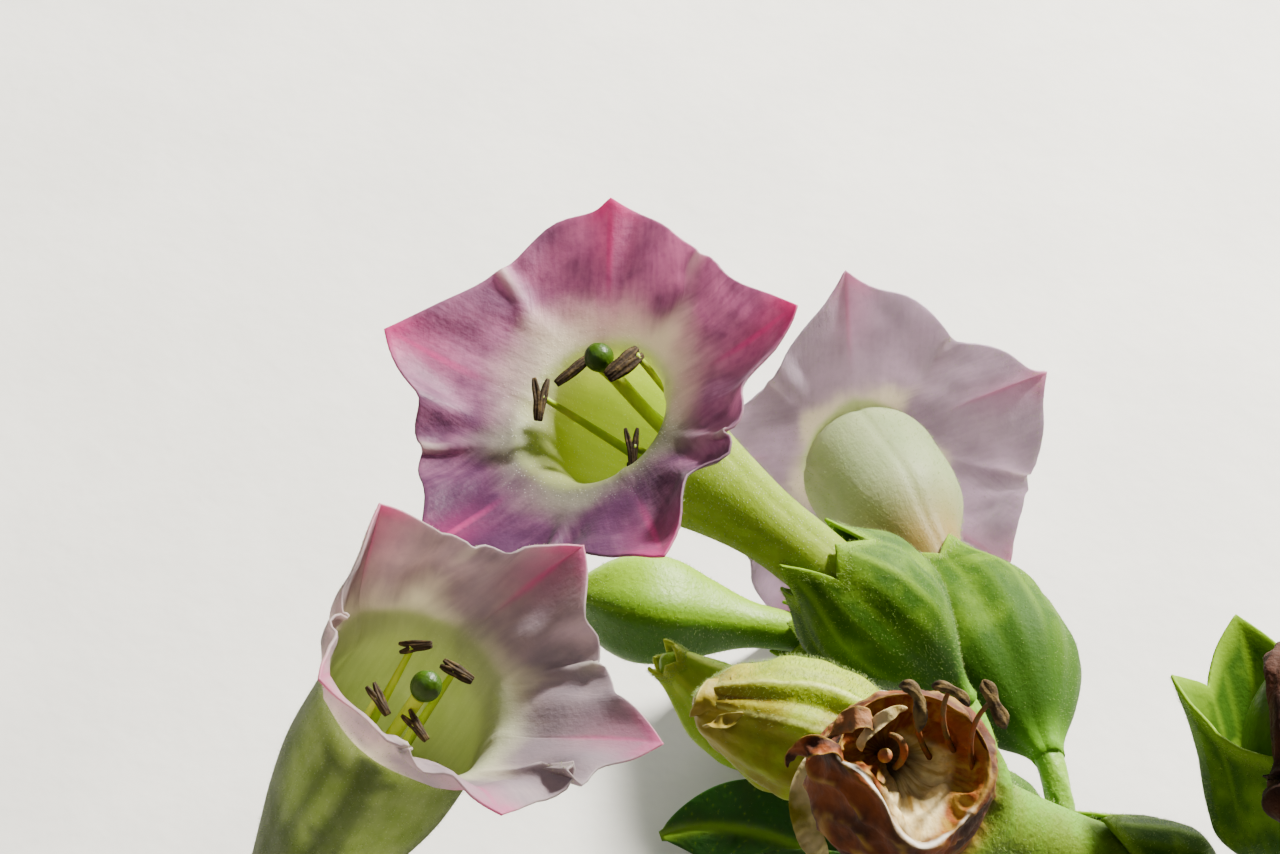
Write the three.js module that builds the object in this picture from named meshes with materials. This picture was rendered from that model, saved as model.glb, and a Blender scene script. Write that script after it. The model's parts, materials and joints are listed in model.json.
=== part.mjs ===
// Cut flower cluster of a tobacco plant, lying on the ground.
// Three open blooms, two buds, a wilting and a withered bloom and a ripening fruit stand on
// curved stalks along two branches of one cut stem. Lengths are millimetres.
// Every point is given as it is seen in the picture: x to the right, y up, z towards the viewer.
// The group at the end leans that picture back and sets the cluster down on the ground.
import * as THREE from 'three';

// Sizes shared by the pieces
const CLEARANCE = 0.3; // between pieces that touch
const PETAL_WALL = 0.45;
const CALYX_WALL = 0.5;
const FILAMENT_RADIUS = 0.3;
const STYLE_RADIUS = 0.42;
const STALK_RADIUS = 1.05;
const STIGMA_RADIUS = 1.15;
const ANTHER_RADIUS = 0.72;
const ANTHER_LENGTH = 2.6;
const STEM_CUT_RADIUS = 2.7;
const BRACT_THICKNESS = 0.5;
const CALYX_FLOOR = 0.03; // share of a bloom's length taken by the closed bottom of its calyx

// How the cluster lies: the picture plane leans back, then rolls until three points touch
const LEAN = THREE.MathUtils.degToRad(33.83);
const SEAT_ROLL = THREE.MathUtils.degToRad(-1.69);

const COLOURS = {
  pink: 0xc95a90, salmon: 0xc08c90, lilac: 0xb9a3b8, budGreen: 0x8f9e28, calyxGreen: 0x4c7d12,
  stalkGreen: 0x6f9a35, filament: 0xc4cc5a, stigma: 0x2f5a0c,
  wiltYellow: 0x9a8a14, dryBrown: 0x5a2c0c, dryTan: 0x8a6236, leafGreen: 0x1f4d0d,
};

const vec = (place) => new THREE.Vector3(...place);
const mix = (a, b, share) => a + (b - a) * share;
const smooth = (from, to, x) => THREE.MathUtils.smoothstep(x, from, to);

// A centre line: a cubic Bezier curve that runs on straight past its end
class CentreLine {
  constructor(points) {
    this.curve = new THREE.CubicBezierCurve3(...points.map(vec));
  }

  at(t) {
    const inside = THREE.MathUtils.clamp(t, 0, 1);
    const place = this.curve.getPoint(inside);
    if (t === inside) return place;
    return place.addScaledVector(this.slope(inside), t - inside);
  }

  slope(t) {
    const [a, b, c, d] = [this.curve.v0, this.curve.v1, this.curve.v2, this.curve.v3];
    const left = 1 - t;
    return new THREE.Vector3()
      .addScaledVector(b.clone().sub(a), 3 * left * left)
      .addScaledVector(c.clone().sub(b), 6 * left * t)
      .addScaledVector(d.clone().sub(c), 3 * t * t);
  }

  direction(t) {
    return this.slope(THREE.MathUtils.clamp(t, 0, 1)).normalize();
  }
}

// Two directions across a centre line, the first as near as can be to the picture's up
function across(direction) {
  const up = new THREE.Vector3(0, 1, 0);
  const first = up.addScaledVector(direction, -up.dot(direction)).normalize();
  return [first, direction.clone().cross(first)];
}

// A point of a ring: out from a centre by a radius, at an angle, and along the axis by a rise
function ringPoint(centre, direction, angle, radius, rise = 0) {
  const [first, second] = across(direction);
  return centre.clone()
    .addScaledVector(first, radius * Math.cos(angle))
    .addScaledVector(second, radius * Math.sin(angle))
    .addScaledVector(direction, rise);
}

// A closed skin over rings of equally many points, shut by one point at each end
function closedSkin(start, rings, end) {
  const columns = rings[0].length;
  const places = [start, ...rings.flat(), end];
  const at = (ring, column) => 1 + ring * columns + (column % columns);
  const faces = [];
  for (let c = 0; c < columns; c += 1) {
    faces.push(0, at(0, c + 1), at(0, c));
    for (let r = 0; r < rings.length - 1; r += 1) {
      faces.push(at(r, c), at(r, c + 1), at(r + 1, c));
      faces.push(at(r, c + 1), at(r + 1, c + 1), at(r + 1, c));
    }
    faces.push(at(rings.length - 1, c), at(rings.length - 1, c + 1), places.length - 1);
  }
  const geometry = new THREE.BufferGeometry();
  geometry.setAttribute('position', new THREE.Float32BufferAttribute(
    places.flatMap((place) => [place.x, place.y, place.z]), 3));
  geometry.setIndex(faces);
  geometry.computeVertexNormals();
  return geometry;
}

const middle = (ring) => ring
  .reduce((sum, place) => sum.add(place), new THREE.Vector3()).divideScalar(ring.length);

// A cup: an outer skin given ring by ring, and an inner one laid off along its normals.
// The first ring is the flat foot, and the inner skin starts one ring above it.
function cup(foot, outer, wall) {
  const last = outer.length - 1;
  const columns = outer[0].length;
  const inner = outer.map((ring, r) => ring.map((place, c) => {
    const along = outer[Math.min(r + 1, last)][c].clone().sub(outer[Math.max(r - 1, 0)][c]);
    const round = ring[(c + 1) % columns].clone().sub(ring[(c + columns - 1) % columns]);
    return place.clone().addScaledVector(round.cross(along).normalize(), -wall);
  }));
  const back = inner.slice(1).reverse();
  return closedSkin(foot, [...outer, ...back], middle(back[back.length - 1]));
}

// Angles round a bloom with five lobes, the same number in each, with one on every lobe's tip
function lobeAngles(roll, perLobe) {
  const angles = [];
  for (let i = 0; i < 5 * perLobe; i += 1) angles.push(roll + (2 * Math.PI * i) / (5 * perLobe));
  return angles;
}

// Reach of a five-cornered outline at a place round it, counted in lobes from the first tip:
// the straight chord between two tips, swelling a little on each side of the notch
function outlineReach(reaches, lobe, swell) {
  const from = Math.floor(lobe) % 5;
  const share = lobe - Math.floor(lobe);
  const step = (2 * Math.PI) / 5;
  const a = reaches[from];
  const b = reaches[(from + 1) % 5];
  const chord = (a * b * Math.sin(step))
    / (a * Math.sin(step * share) + b * Math.sin(step * (1 - share)));
  return chord * (1 + swell * Math.sin(2 * Math.PI * share) ** 2);
}

// A value given for each of the five tips, eased from one tip to the next
function betweenTips(values, lobe) {
  const from = Math.floor(lobe) % 5;
  const share = (1 - Math.cos(Math.PI * (lobe - Math.floor(lobe)))) / 2;
  return mix(values[from], values[(from + 1) % 5], share);
}

const TUBE_STEPS = [0.05, 0.085, 0.16, 0.28, 0.4, 0.52, 0.64, 0.76, 0.88, 0.96];
const LIMB_STEPS = [0.0, 0.12, 0.4, 0.72, 1.0];
const PETAL_COLUMNS = 6;

function tubeRadius(bloom, t) {
  const foot = mix(0.5, 1, smooth(0.05, 0.14, t));
  const belly = smooth(bloom.flareFrom, bloom.flareTo, t);
  return bloom.tubeRadius * foot + (bloom.throatRadius - bloom.tubeRadius) * belly;
}

// Where a bloom's tube faces: along its centre line, turning to the limb's own facing at its end
function facingAt(bloom, t) {
  const share = smooth(0.7, 1, t);
  return bloom.line.direction(t).multiplyScalar(1 - share)
    .addScaledVector(bloom.facing, share).normalize();
}

// The corolla of an open bloom: a tube that widens to a throat, then five lobes fused in a limb
function openCorolla(bloom) {
  const angles = lobeAngles(bloom.roll, PETAL_COLUMNS);
  const outer = TUBE_STEPS.map((t) => angles.map((angle) => (
    ringPoint(bloom.line.at(t), facingAt(bloom, t), angle, tubeRadius(bloom, t)))));
  const cupDepth = bloom.limbCentre.clone().sub(bloom.mouth);
  LIMB_STEPS.forEach((q) => outer.push(angles.map((angle, i) => {
    const lobe = i / PETAL_COLUMNS;
    const reach = outlineReach(bloom.reaches, lobe, bloom.swell);
    const radius = mix(bloom.mouthRadius, reach, q);
    const pleat = bloom.pleat * Math.cos(2 * Math.PI * lobe) * q;
    const rise = betweenTips(bloom.rises, lobe) * q * q + pleat;
    const centre = bloom.mouth.clone().addScaledVector(cupDepth, q ** bloom.cupCurve);
    return ringPoint(centre, bloom.facing, angle, radius, rise);
  })));
  return cup(bloom.line.at(TUBE_STEPS[0]), outer, PETAL_WALL);
}

// A calyx: an urn on the same centre line, its rim drawn out in five unequal teeth
function calyx(line, urn) {
  const perTooth = 4;
  const angles = lobeAngles(urn.roll ?? 0, perTooth);
  const shares = [0, CALYX_FLOOR / urn.rim, 0.24, 0.45, 0.66, 0.84, 1];
  const outer = shares.map((share) => angles.map((angle, i) => {
    const lobe = i / perTooth;
    const fromTip = 2 * Math.abs(lobe - Math.round(lobe));
    const tooth = (1 - fromTip) ** 1.2 * urn.teeth[Math.round(lobe) % 5];
    const t = share * urn.rim + share ** 3 * tooth;
    const swell = smooth(-0.12, 0.5, t / urn.rim);
    const close = smooth(0.45, 1, t / urn.rim);
    const flare = Math.max(0, t - urn.rim) * urn.toothFlare;
    const ribbed = 1 + 0.03 * Math.cos(2 * Math.PI * lobe);
    const radius = (mix(urn.foot, urn.belly, swell) + (urn.neck - urn.belly) * close) * ribbed;
    return ringPoint(line.at(t), line.direction(t), angle, radius + flare);
  }));
  return cup(line.at(0), outer, CALYX_WALL);
}

// A limb of round section along a centre line: [share of its length, radius] at each ring
function roundLimb(line, profile, sides = 10, wobble = () => 1) {
  const rings = profile.map(([t, radius]) => {
    const ring = [];
    for (let i = 0; i < sides; i += 1) {
      const angle = (2 * Math.PI * i) / sides;
      ring.push(ringPoint(line.at(t), line.direction(t), angle, radius * wobble(angle, t)));
    }
    return ring;
  });
  return closedSkin(line.at(profile[0][0]), rings, line.at(profile[profile.length - 1][0]));
}

// A tapering limb, its rings evenly spaced
function taper(line, from, to, sides = 10, steps = 6) {
  const profile = [];
  for (let i = 0; i <= steps; i += 1) profile.push([i / steps, mix(from, to, i / steps)]);
  return roundLimb(line, profile, sides);
}

// A point just clear of the side of a limb, in the direction of another point
function sideOf(limb, t, towards) {
  const centre = limb.line.at(t);
  const along = limb.line.direction(t);
  const out = vec(towards).sub(centre);
  out.addScaledVector(along, -out.dot(along)).normalize();
  return { place: centre.addScaledVector(out, limb.radiusAt(t) + CLEARANCE), out };
}

function limbOf(points, from, to) {
  return { line: new CentreLine(points), radiusAt: (t) => mix(from, to, t), from, to };
}

// The first two points of a shoot that leaves the side of a limb squarely, or grows on from
// its tip where t is 1
function growFrom(limb, t, towards, reach) {
  const tip = { place: limb.line.at(1), out: limb.line.direction(1) };
  tip.place.addScaledVector(tip.out, CLEARANCE);
  const root = t < 1 ? sideOf(limb, t, towards) : tip;
  return [root.place.toArray(), root.place.clone().addScaledVector(root.out, reach).toArray()];
}

// A flower stalk from the side of a branch to the foot of a calyx
function stalkLine(branch, t, line) {
  const foot = line.at(0).addScaledVector(line.direction(0), -CLEARANCE);
  const reach = foot.distanceTo(branch.line.at(t)) * 0.3;
  const gapWay = line.direction(0).multiplyScalar(-reach);
  return new CentreLine([
    ...growFrom(branch, t, line.at(0).toArray(), reach), foot.clone().add(gapWay).toArray(), foot.toArray(),
  ]);
}

// A bract: a thin blade folded up along its midrib, widest a third of the way from its root
function bract(points, halfWidth, fold) {
  const line = new CentreLine(points);
  const rings = [0.02, 0.12, 0.28, 0.46, 0.64, 0.8, 0.92, 0.99].map((t) => {
    const along = line.direction(t);
    const [up, side] = across(along);
    const width = Math.max(halfWidth * Math.sin(Math.PI * t ** 0.75) ** 0.8, 0.5);
    const section = [[1, 0], [0.55, -0.5], [0, -0.9], [-0.55, -0.5], [-1, 0],
      [-0.55, 0.5], [0, 0.9], [0.55, 0.5]];
    return section.map(([x, y]) => line.at(t)
      .addScaledVector(up, x * width)
      .addScaledVector(side, -(y * BRACT_THICKNESS + Math.abs(x) * width * fold)));
  });
  return closedSkin(middle(rings[0]), rings, middle(rings[rings.length - 1]));
}

// Stems and branches
const stem = limbOf([[24, -96, -3], [20, -90, -6.5], [16.5, -84.5, -10], [14, -80.5, -12.4]],
  STEM_CUT_RADIUS, 2.3);
const leftBranch = limbOf([...growFrom(stem, 1, null, 9), [-20, -71.5, -17.5],
  [-36, -69, -20.6]], 2.1, 1.6);
const rightBranch = limbOf([...growFrom(stem, 0.7, [40, -74, -10], 14), [52, -68, -18],
  [58.2, -48.5, -14.3]], 2.0, 1.5);
const sideShoot = limbOf([...growFrom(rightBranch, 0.58, [40, -50, -18.5], 6),
  [40, -48, -19.5], [36.8, -38.6, -19]], 1.7, 1.4);

// Open blooms: the limb's five tips run round from the topmost, turned by the roll
const blooms = [
  {
    name: 'main_bloom', colour: COLOURS.pink,
    line: [[25.9, -21.7, -16], [17.5, -12.6, -13], [4.5, -3, -9.5], [-3.8, 0.8, -1.1]],
    facing: [-0.38, 0.508, 0.773], limbCentre: [-5.35, 2.8, 2.0], roll: 3, cupCurve: 1.2,
    reaches: [18.2, 18.1, 19.0, 20.6, 19.3], rises: [0, 1.6, -0.5, 2.2, 0.6],
    swell: 0.03, pleat: 0.5, tubeRadius: 2.8, throatRadius: 5.9, mouthRadius: 6.7,
    flareFrom: 0.28, flareTo: 0.9,
    urn: { rim: 0.36, teeth: [0.1, 0.07, 0.13, 0.05, 0.09], foot: 1.5, belly: 6.0, neck: 4.0,
      toothFlare: 9, roll: 0.3 },
    branch: sideShoot, branchAt: 0.82,
    anthers: [[-5.5, 4.5, -2.4], [-8.0, 2.5, -0.9], null, [-0.6, -1.5, 1.6], [-1.2, 5.0, -0.6]],
    stigma: [-3.3, 5.6, -1.6],
  },
  {
    name: 'left_bloom', colour: COLOURS.salmon,
    line: [[-34.4, -47.2, -5], [-29.7, -38.8, 2.5], [-22.2, -28.7, 12], [-17.1, -20.4, 19.6]],
    facing: [0.421, 0.558, 0.715], limbCentre: [-11.6, -17.4, 26], roll: 22.5, cupCurve: 1.25,
    reaches: [15.1, 13.8, 13.7, 15.1, 15.4], rises: [0.1, -1.5, 0, -0.9, -0.5],
    swell: 0.03, pleat: 0.9, tubeRadius: 2.9, throatRadius: 7.0, mouthRadius: 7.6,
    flareFrom: 0.24, flareTo: 0.82,
    urn: { rim: 0.34, teeth: [0.09, 0.06, 0.11, 0.05, 0.08], foot: 1.5, belly: 5.7, neck: 4.2,
      toothFlare: 9, roll: 0.9 },
    branch: leftBranch, branchAt: 0.93,
    anthers: [[-19.8, -20.4, 22.4], null, [-17, -22.4, 22.8], [-14, -18.4, 21.6],
      [-17.2, -16.6, 21.6]],
    stigma: [-16.1, -19.5, 23.8],
  },
  {
    name: 'back_bloom', colour: COLOURS.lilac,
    line: [[33.9, -26.7, -20], [31, -19.4, -27.5], [24.8, -10.1, -37.2], [22, -5.1, -46.6]],
    facing: [-0.238, 0.454, -0.859], limbCentre: [21.1, -3.3, -50], roll: -16.4, cupCurve: 1.2,
    reaches: [19.5, 16.8, 19.7, 17.8, 18.0], rises: [-1.0, -1.8, 3.0, 0.3, -1.6],
    swell: 0.03, pleat: 0.5, tubeRadius: 2.8, throatRadius: 5.9, mouthRadius: 6.6,
    flareFrom: 0.34, flareTo: 0.86,
    urn: { rim: 0.4, teeth: [0.08, 0.06, 0.1, 0.05, 0.07], foot: 1.5, belly: 6.0, neck: 4.2,
      toothFlare: 9, roll: 0.1 },
    branch: sideShoot, branchAt: 1,
    anthers: [[23.8, -1.4, -47.6], [26, -5.6, -48.6], null, [19.6, -7.6, -49.2], [18.9, -2.4, -47]],
    stigma: [21.8, -4.1, -49.8],
  },
];

const cluster = new THREE.Group();
cluster.rotation.set(LEAN, SEAT_ROLL, 0);

function add(name, geometry, colour, roughness = 0.6) {
  const material = new THREE.MeshStandardMaterial({ color: colour, roughness, metalness: 0 });
  const mesh = new THREE.Mesh(geometry, material);
  mesh.name = name;
  cluster.add(mesh);
}

// A stamen: a filament up the wall of the tube from a third of its length, then its anther.
// Four reach the mouth, and the one with no place of its own is short and stays in the throat.
function stamen(bloom, number) {
  const rootAt = 0.34;
  const leaveAt = 0.62;
  const angle = bloom.roll + (2 * Math.PI * (number + 0.5)) / 5;
  const offset = tubeRadius(bloom, rootAt) - PETAL_WALL - CLEARANCE - FILAMENT_RADIUS;
  const inTube = (t) => ringPoint(bloom.line.at(t), facingAt(bloom, t), angle, offset);
  const shortTip = ringPoint(bloom.line.at(0.84), facingAt(bloom, 0.84), angle, 3.2);
  const tip = bloom.anthers[number] ? vec(bloom.anthers[number]) : shortTip;
  const leave = inTube(leaveAt);
  const way = tip.clone().sub(leave);
  const line = new CentreLine([inTube(rootAt), leave,
    leave.clone().addScaledVector(way, 0.45), tip].map((place) => place.toArray()));
  const swell = ANTHER_LENGTH / line.curve.getLength();
  const start = 1 - swell / 2;
  return roundLimb(line, [[0, FILAMENT_RADIUS], [0.2, FILAMENT_RADIUS], [0.4, FILAMENT_RADIUS],
    [0.6, FILAMENT_RADIUS], [0.76, FILAMENT_RADIUS], [start, FILAMENT_RADIUS],
    [1 - swell * 0.3, ANTHER_RADIUS], [1 + swell * 0.3, ANTHER_RADIUS],
    [1 + swell / 2, 0.3]], 6);
}

// The pistil: an ovary in the foot of the tube, its style up the middle and a round stigma
function pistil(bloom) {
  const rootAt = 0.1;
  const tip = vec(bloom.stigma);
  const from = bloom.line.at(rootAt);
  const line = new CentreLine([from, bloom.line.at(0.36), bloom.line.at(0.72), tip]
    .map((place) => place.toArray()));
  const ball = STIGMA_RADIUS / line.curve.getLength();
  return roundLimb(line, [[0, 1.1], [0.07, 1.25], [0.16, STYLE_RADIUS], [0.3, STYLE_RADIUS],
    [0.45, STYLE_RADIUS], [0.6, STYLE_RADIUS], [0.8, STYLE_RADIUS], [1 - ball, STYLE_RADIUS],
    [1 - ball * 0.6, STIGMA_RADIUS * 0.8], [1, STIGMA_RADIUS],
    [1 + ball * 0.7, STIGMA_RADIUS * 0.7]], 8);
}

function addStalk(name, branch, t, line) {
  add(name, taper(stalkLine(branch, t, line), STALK_RADIUS, STALK_RADIUS * 1.15, 8, 6),
    COLOURS.stalkGreen);
}

function addOpenBloom(spec) {
  const bloom = { ...spec, line: new CentreLine(spec.line), facing: vec(spec.facing).normalize(),
    limbCentre: vec(spec.limbCentre), mouth: vec(spec.line[3]),
    roll: THREE.MathUtils.degToRad(spec.roll) };
  add(`${bloom.name}_corolla`, openCorolla(bloom), bloom.colour, 0.5);
  add(`${bloom.name}_calyx`, calyx(bloom.line, bloom.urn), COLOURS.calyxGreen);
  bloom.anthers.forEach((place, number) => {
    add(`${bloom.name}_stamen_${number + 1}`, stamen(bloom, number), COLOURS.filament);
  });
  add(`${bloom.name}_pistil`, pistil(bloom), COLOURS.stigma);
  addStalk(`${bloom.name}_stalk`, bloom.branch, bloom.branchAt, bloom.line);
}

// The closed bud behind: a narrow tube with a swollen, pointed head
function addClosedBud() {
  const line = new CentreLine([[22.4, -19.8, -31], [13.5, -17.2, -31.5], [4, -16.6, -31],
    [-6, -14.2, -30]]);
  add('closed_bud_corolla', roundLimb(line, [[0.05, 1.5], [0.16, 1.7], [0.34, 1.7],
    [0.48, 2.1], [0.6, 3.3], [0.72, 4.5], [0.83, 4.5], [0.92, 3.2], [0.99, 1.0]], 12),
  COLOURS.budGreen);
  add('closed_bud_calyx', calyx(line, { rim: 0.3, teeth: [0.08, 0.05, 0.09, 0.04, 0.06], foot: 1.2,
    belly: 3.6, neck: 2.8, toothFlare: 5 }), COLOURS.calyxGreen);
  addStalk('closed_bud_stalk', sideShoot, 0.72, line);
}

// The youngest bud: its head barely shows between the teeth of its calyx
function addSmallBud() {
  const line = new CentreLine([[12.6, -28.2, -17.5], [9.4, -25.2, -16.5], [6, -22.4, -14.5],
    [3, -19.9, -13]]);
  add('small_bud_head', roundLimb(line, [[0.14, 1.6], [0.4, 2.4], [0.7, 2.2], [0.95, 1.5],
    [1.05, 0.6]], 10), COLOURS.budGreen);
  add('small_bud_calyx', calyx(line, { rim: 0.84, teeth: [0.28, 0.18, 0.3, 0.16, 0.24], foot: 1.3,
    belly: 3.9, neck: 2.7, toothFlare: -1.5, roll: 0.4 }), COLOURS.calyxGreen);
  addStalk('small_bud_stalk', sideShoot, 0.5, line);
}

// The wilting bloom: closed again, yellow, its lobes folded into two lips
function addWiltingBloom() {
  const line = new CentreLine([[33.3, -36.0, -11], [25.5, -30.4, -9], [16.5, -24.6, -4],
    [4.6, -22.2, -3.6]]);
  const lips = (angle, t) => {
    const folded = smooth(0.6, 1, t);
    return 1 - 0.22 * folded * Math.cos(angle * 2) ** 8 * (Math.sin(angle) > 0 ? 1 : 0.3)
      + 0.05 * Math.cos(5 * angle);
  };
  add('wilting_bloom_corolla', roundLimb(line, [[0.05, 1.6], [0.14, 2.4], [0.3, 2.7], [0.44, 3.3],
    [0.56, 4.6], [0.68, 5.6], [0.79, 5.7], [0.89, 4.4], [0.96, 2.9], [1.0, 1.3]], 16, lips),
  COLOURS.wiltYellow);
  add('wilting_bloom_calyx', calyx(line, { rim: 0.34, teeth: [0.09, 0.06, 0.1, 0.05, 0.08],
    foot: 1.4, belly: 4.6, neck: 3.8, toothFlare: 9 }), COLOURS.calyxGreen);
  addStalk('wilting_bloom_stalk', sideShoot, 0.93, line);
}

// The withered bloom: a green tube that still stands, its limb dried to a crumpled brown pouch
function addWitheredBloom() {
  const line = new CentreLine([[47.8, -39.0, -8], [38.5, -36.5, -6], [20.5, -30, 3],
    [20.4, -26.6, 15.5]]);
  const columns = 20;
  const profile = [[0.05, 1.6, 0], [0.1, 2.6, 0], [0.22, 3.0, 0], [0.38, 3.2, 0], [0.54, 3.4, 0.02],
    [0.66, 4.3, 0.05], [0.76, 6.2, 0.08], [0.86, 7.4, 0.1], [0.95, 7.0, 0.12], [1.02, 6.4, 0.16]];
  const outer = profile.map(([t, radius, crumple]) => {
    const ring = [];
    for (let i = 0; i < columns; i += 1) {
      const angle = (2 * Math.PI * i) / columns;
      const wave = Math.sin(5 * angle + 9 * t) + 0.5 * Math.sin(3 * angle - 2);
      const sag = 1 + crumple * 1.2 * Math.max(0, Math.sin(angle - 0.6));
      ring.push(ringPoint(line.at(t), line.direction(t), angle, radius * (1 + crumple * wave * 0.6)
        * sag, crumple * 3 * Math.sin(4 * angle + 1)));
    }
    return ring;
  });
  add('withered_bloom_corolla', cup(line.at(0.05), outer, PETAL_WALL), COLOURS.dryBrown, 0.8);
  add('withered_bloom_calyx', calyx(line, { rim: 0.36, teeth: [0.08, 0.06, 0.1, 0.05, 0.09],
    foot: 1.4, belly: 5.2, neck: 4.2, toothFlare: 9, roll: 0.6 }), COLOURS.calyxGreen);
  const tips = [[20.6, -20.4, 19], [24.3, -20.6, 20], [27.0, -21.6, 20]];
  const overMouth = line.at(1).addScaledVector(line.direction(1), 3);
  tips.forEach((tip, number) => {
    const root = ringPoint(line.at(0.6), line.direction(0.6), 0.7 - 1.1 * number, 2.4);
    const path = new CentreLine([root.toArray(), ringPoint(line.at(0.78), line.direction(0.78),
      0.5 - 0.9 * number, 3.4).toArray(),
    vec(tip).lerp(overMouth, 0.45).toArray(), tip]);
    add(`withered_bloom_stamen_${number + 1}`, roundLimb(path, [[0, 0.3], [0.3, 0.3], [0.6, 0.3],
      [0.86, 0.3], [0.9, ANTHER_RADIUS], [1.03, ANTHER_RADIUS], [1.08, 0.3]], 6), COLOURS.dryTan);
  });
  addStalk('withered_bloom_stalk', rightBranch, 0.82, line);
}

// The fruit: a capsule in its grown calyx, with the dry corolla still hanging at its tip
function addFruit() {
  const line = new CentreLine([[56, -37, -3], [54.6, -31.5, -1.4], [52.6, -25.5, 0.6],
    [51, -19.6, 2]]);
  add('fruit_capsule', roundLimb(line, [[0.085, 1.2], [0.16, 2.6], [0.34, 4.3], [0.52, 4.6],
    [0.7, 3.7], [0.82, 2.3], [0.9, 0.6]], 12), COLOURS.stigma, 0.3);
  add('fruit_calyx', calyx(line, { rim: 0.84, teeth: [0.5, 0.36, 0.42, 0.34, 0.44], foot: 1.6,
    belly: 6.3, neck: 5.8, toothFlare: 4, roll: 0.79 }), COLOURS.calyxGreen);
  const dry = new CentreLine([line.at(0.93).toArray(), [51.2, -13.5, 4], [51.2, -12.5, 13.5],
    [51, -31, 11.2]]);
  const shrivel = (angle, t) => 1 + 0.16 * Math.sin(3 * angle + 8 * t);
  add('fruit_dry_corolla', roundLimb(dry, [[0, 0.5], [0.12, 1.0], [0.3, 1.6], [0.5, 2.1],
    [0.7, 2.3], [0.86, 2.0], [1, 1.1]], 10, shrivel), COLOURS.dryBrown, 0.8);
  addStalk('fruit_stalk', rightBranch, 1, line);
}

add('stem', taper(stem.line, stem.from, stem.to, 14, 5), COLOURS.stalkGreen);
add('left_branch', taper(leftBranch.line, leftBranch.from, leftBranch.to, 12, 8),
  COLOURS.stalkGreen);
add('right_branch', taper(rightBranch.line, rightBranch.from, rightBranch.to, 12, 9),
  COLOURS.stalkGreen);
add('side_shoot', taper(sideShoot.line, sideShoot.from, sideShoot.to, 10, 6), COLOURS.stalkGreen);
blooms.forEach(addOpenBloom);
addClosedBud();
addSmallBud();
addWiltingBloom();
addWitheredBloom();
addFruit();

add('upper_bract', bract([...growFrom(sideShoot, 0.6, [20, -42, -26], 5), [14, -35.5, -25],
  [1.7, -34.7, -24]], 7.2, 0.25), COLOURS.leafGreen);
add('lower_bract', bract([...growFrom(sideShoot, 0.25, [20, -44, -14], 7), [17, -29.5, -14.5],
  [5.5, -41, -14.5]], 6.0, 0.25), COLOURS.leafGreen);

// The origin: the middle of the bounding box, at the ground
const part = new THREE.Group();
part.add(cluster);
part.updateMatrixWorld(true);
const box = new THREE.Box3().setFromObject(part, true);
const centre = box.getCenter(new THREE.Vector3());
cluster.position.set(-centre.x, -centre.y, -box.min.z);

export default part;
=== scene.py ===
"""Dresses a cut tobacco flower cluster: petals, calyces, hairs, stamens, stalks and bracts.

Shapes are worked out in picture millimetres (x right, y up, z towards the viewer) and then
settled into the frame, in metres, by the lean and roll with which the cluster lies.
"""

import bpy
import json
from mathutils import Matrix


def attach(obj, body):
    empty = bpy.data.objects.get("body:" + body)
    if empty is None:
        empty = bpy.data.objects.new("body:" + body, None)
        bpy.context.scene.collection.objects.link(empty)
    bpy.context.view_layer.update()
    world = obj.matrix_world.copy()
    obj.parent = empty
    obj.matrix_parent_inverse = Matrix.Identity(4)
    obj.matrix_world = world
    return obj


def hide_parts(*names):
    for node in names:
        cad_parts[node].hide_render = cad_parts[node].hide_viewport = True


bl_info = {
    "name": "Tobacco flower cluster",
    "version": (1, 0, 0),
    "blender": (4, 5, 0),
    "location": "3D View > Sidebar > Tobacco",
    "description": "Dresses the solids of a cut tobacco flower cluster",
    "category": "Object",
}

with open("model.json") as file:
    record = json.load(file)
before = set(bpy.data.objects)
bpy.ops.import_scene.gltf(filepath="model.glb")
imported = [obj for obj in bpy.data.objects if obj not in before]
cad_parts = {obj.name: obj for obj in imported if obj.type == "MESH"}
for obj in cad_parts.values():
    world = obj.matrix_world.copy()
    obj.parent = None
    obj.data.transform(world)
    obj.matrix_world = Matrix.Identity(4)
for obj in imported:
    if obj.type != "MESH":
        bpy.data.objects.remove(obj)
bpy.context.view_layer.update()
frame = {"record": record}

import json
import math

import bpy
import numpy as np
from mathutils import Matrix, Vector

MM = 0.001

# How the picture lies in the frame
LEAN = math.radians(33.83)
SEAT_ROLL = math.radians(-1.69)
STEM_CUT = np.array((24.0, -96.0, -3.0))
TURN = np.array(Matrix.Rotation(LEAN, 3, "X") @ Matrix.Rotation(SEAT_ROLL, 3, "Y"))
CUT_MOUNT = next(m for m in frame["record"]["mounts"] if m["name"] == "cut_end")
SHIFT = np.array(CUT_MOUNT["pos_m"]) - TURN @ STEM_CUT * MM

# The view: millimetres across the picture, and how far off it is seen from
PICTURE_WIDTH = 102.4
VIEW_DISTANCE = 400.0
SENSOR_WIDTH = 36.0

# The stage: the floor's half width in metres, the point the lights face, and for each light its
# place in picture millimetres, its width in metres, its power and its tint
FLOOR_REACH = 1.6
LIGHT_TARGET = (5.0, -20.0, 0.0)
LOWEST_LIGHT = 0.15
LIGHTS = {
    "key": ((360, 520, 80), 0.08, 28.0, (1.0, 0.97, 0.91)),
    "fill": ((-300, 260, 460), 0.6, 1.25, (0.95, 0.97, 1.0)),
    "rim": ((200, 420, -420), 0.25, 5.0, (1.0, 0.98, 0.94)),
}
SKY = (0.96, 0.97, 1.0, 1.0)
SKY_STRENGTH = 0.16

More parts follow.
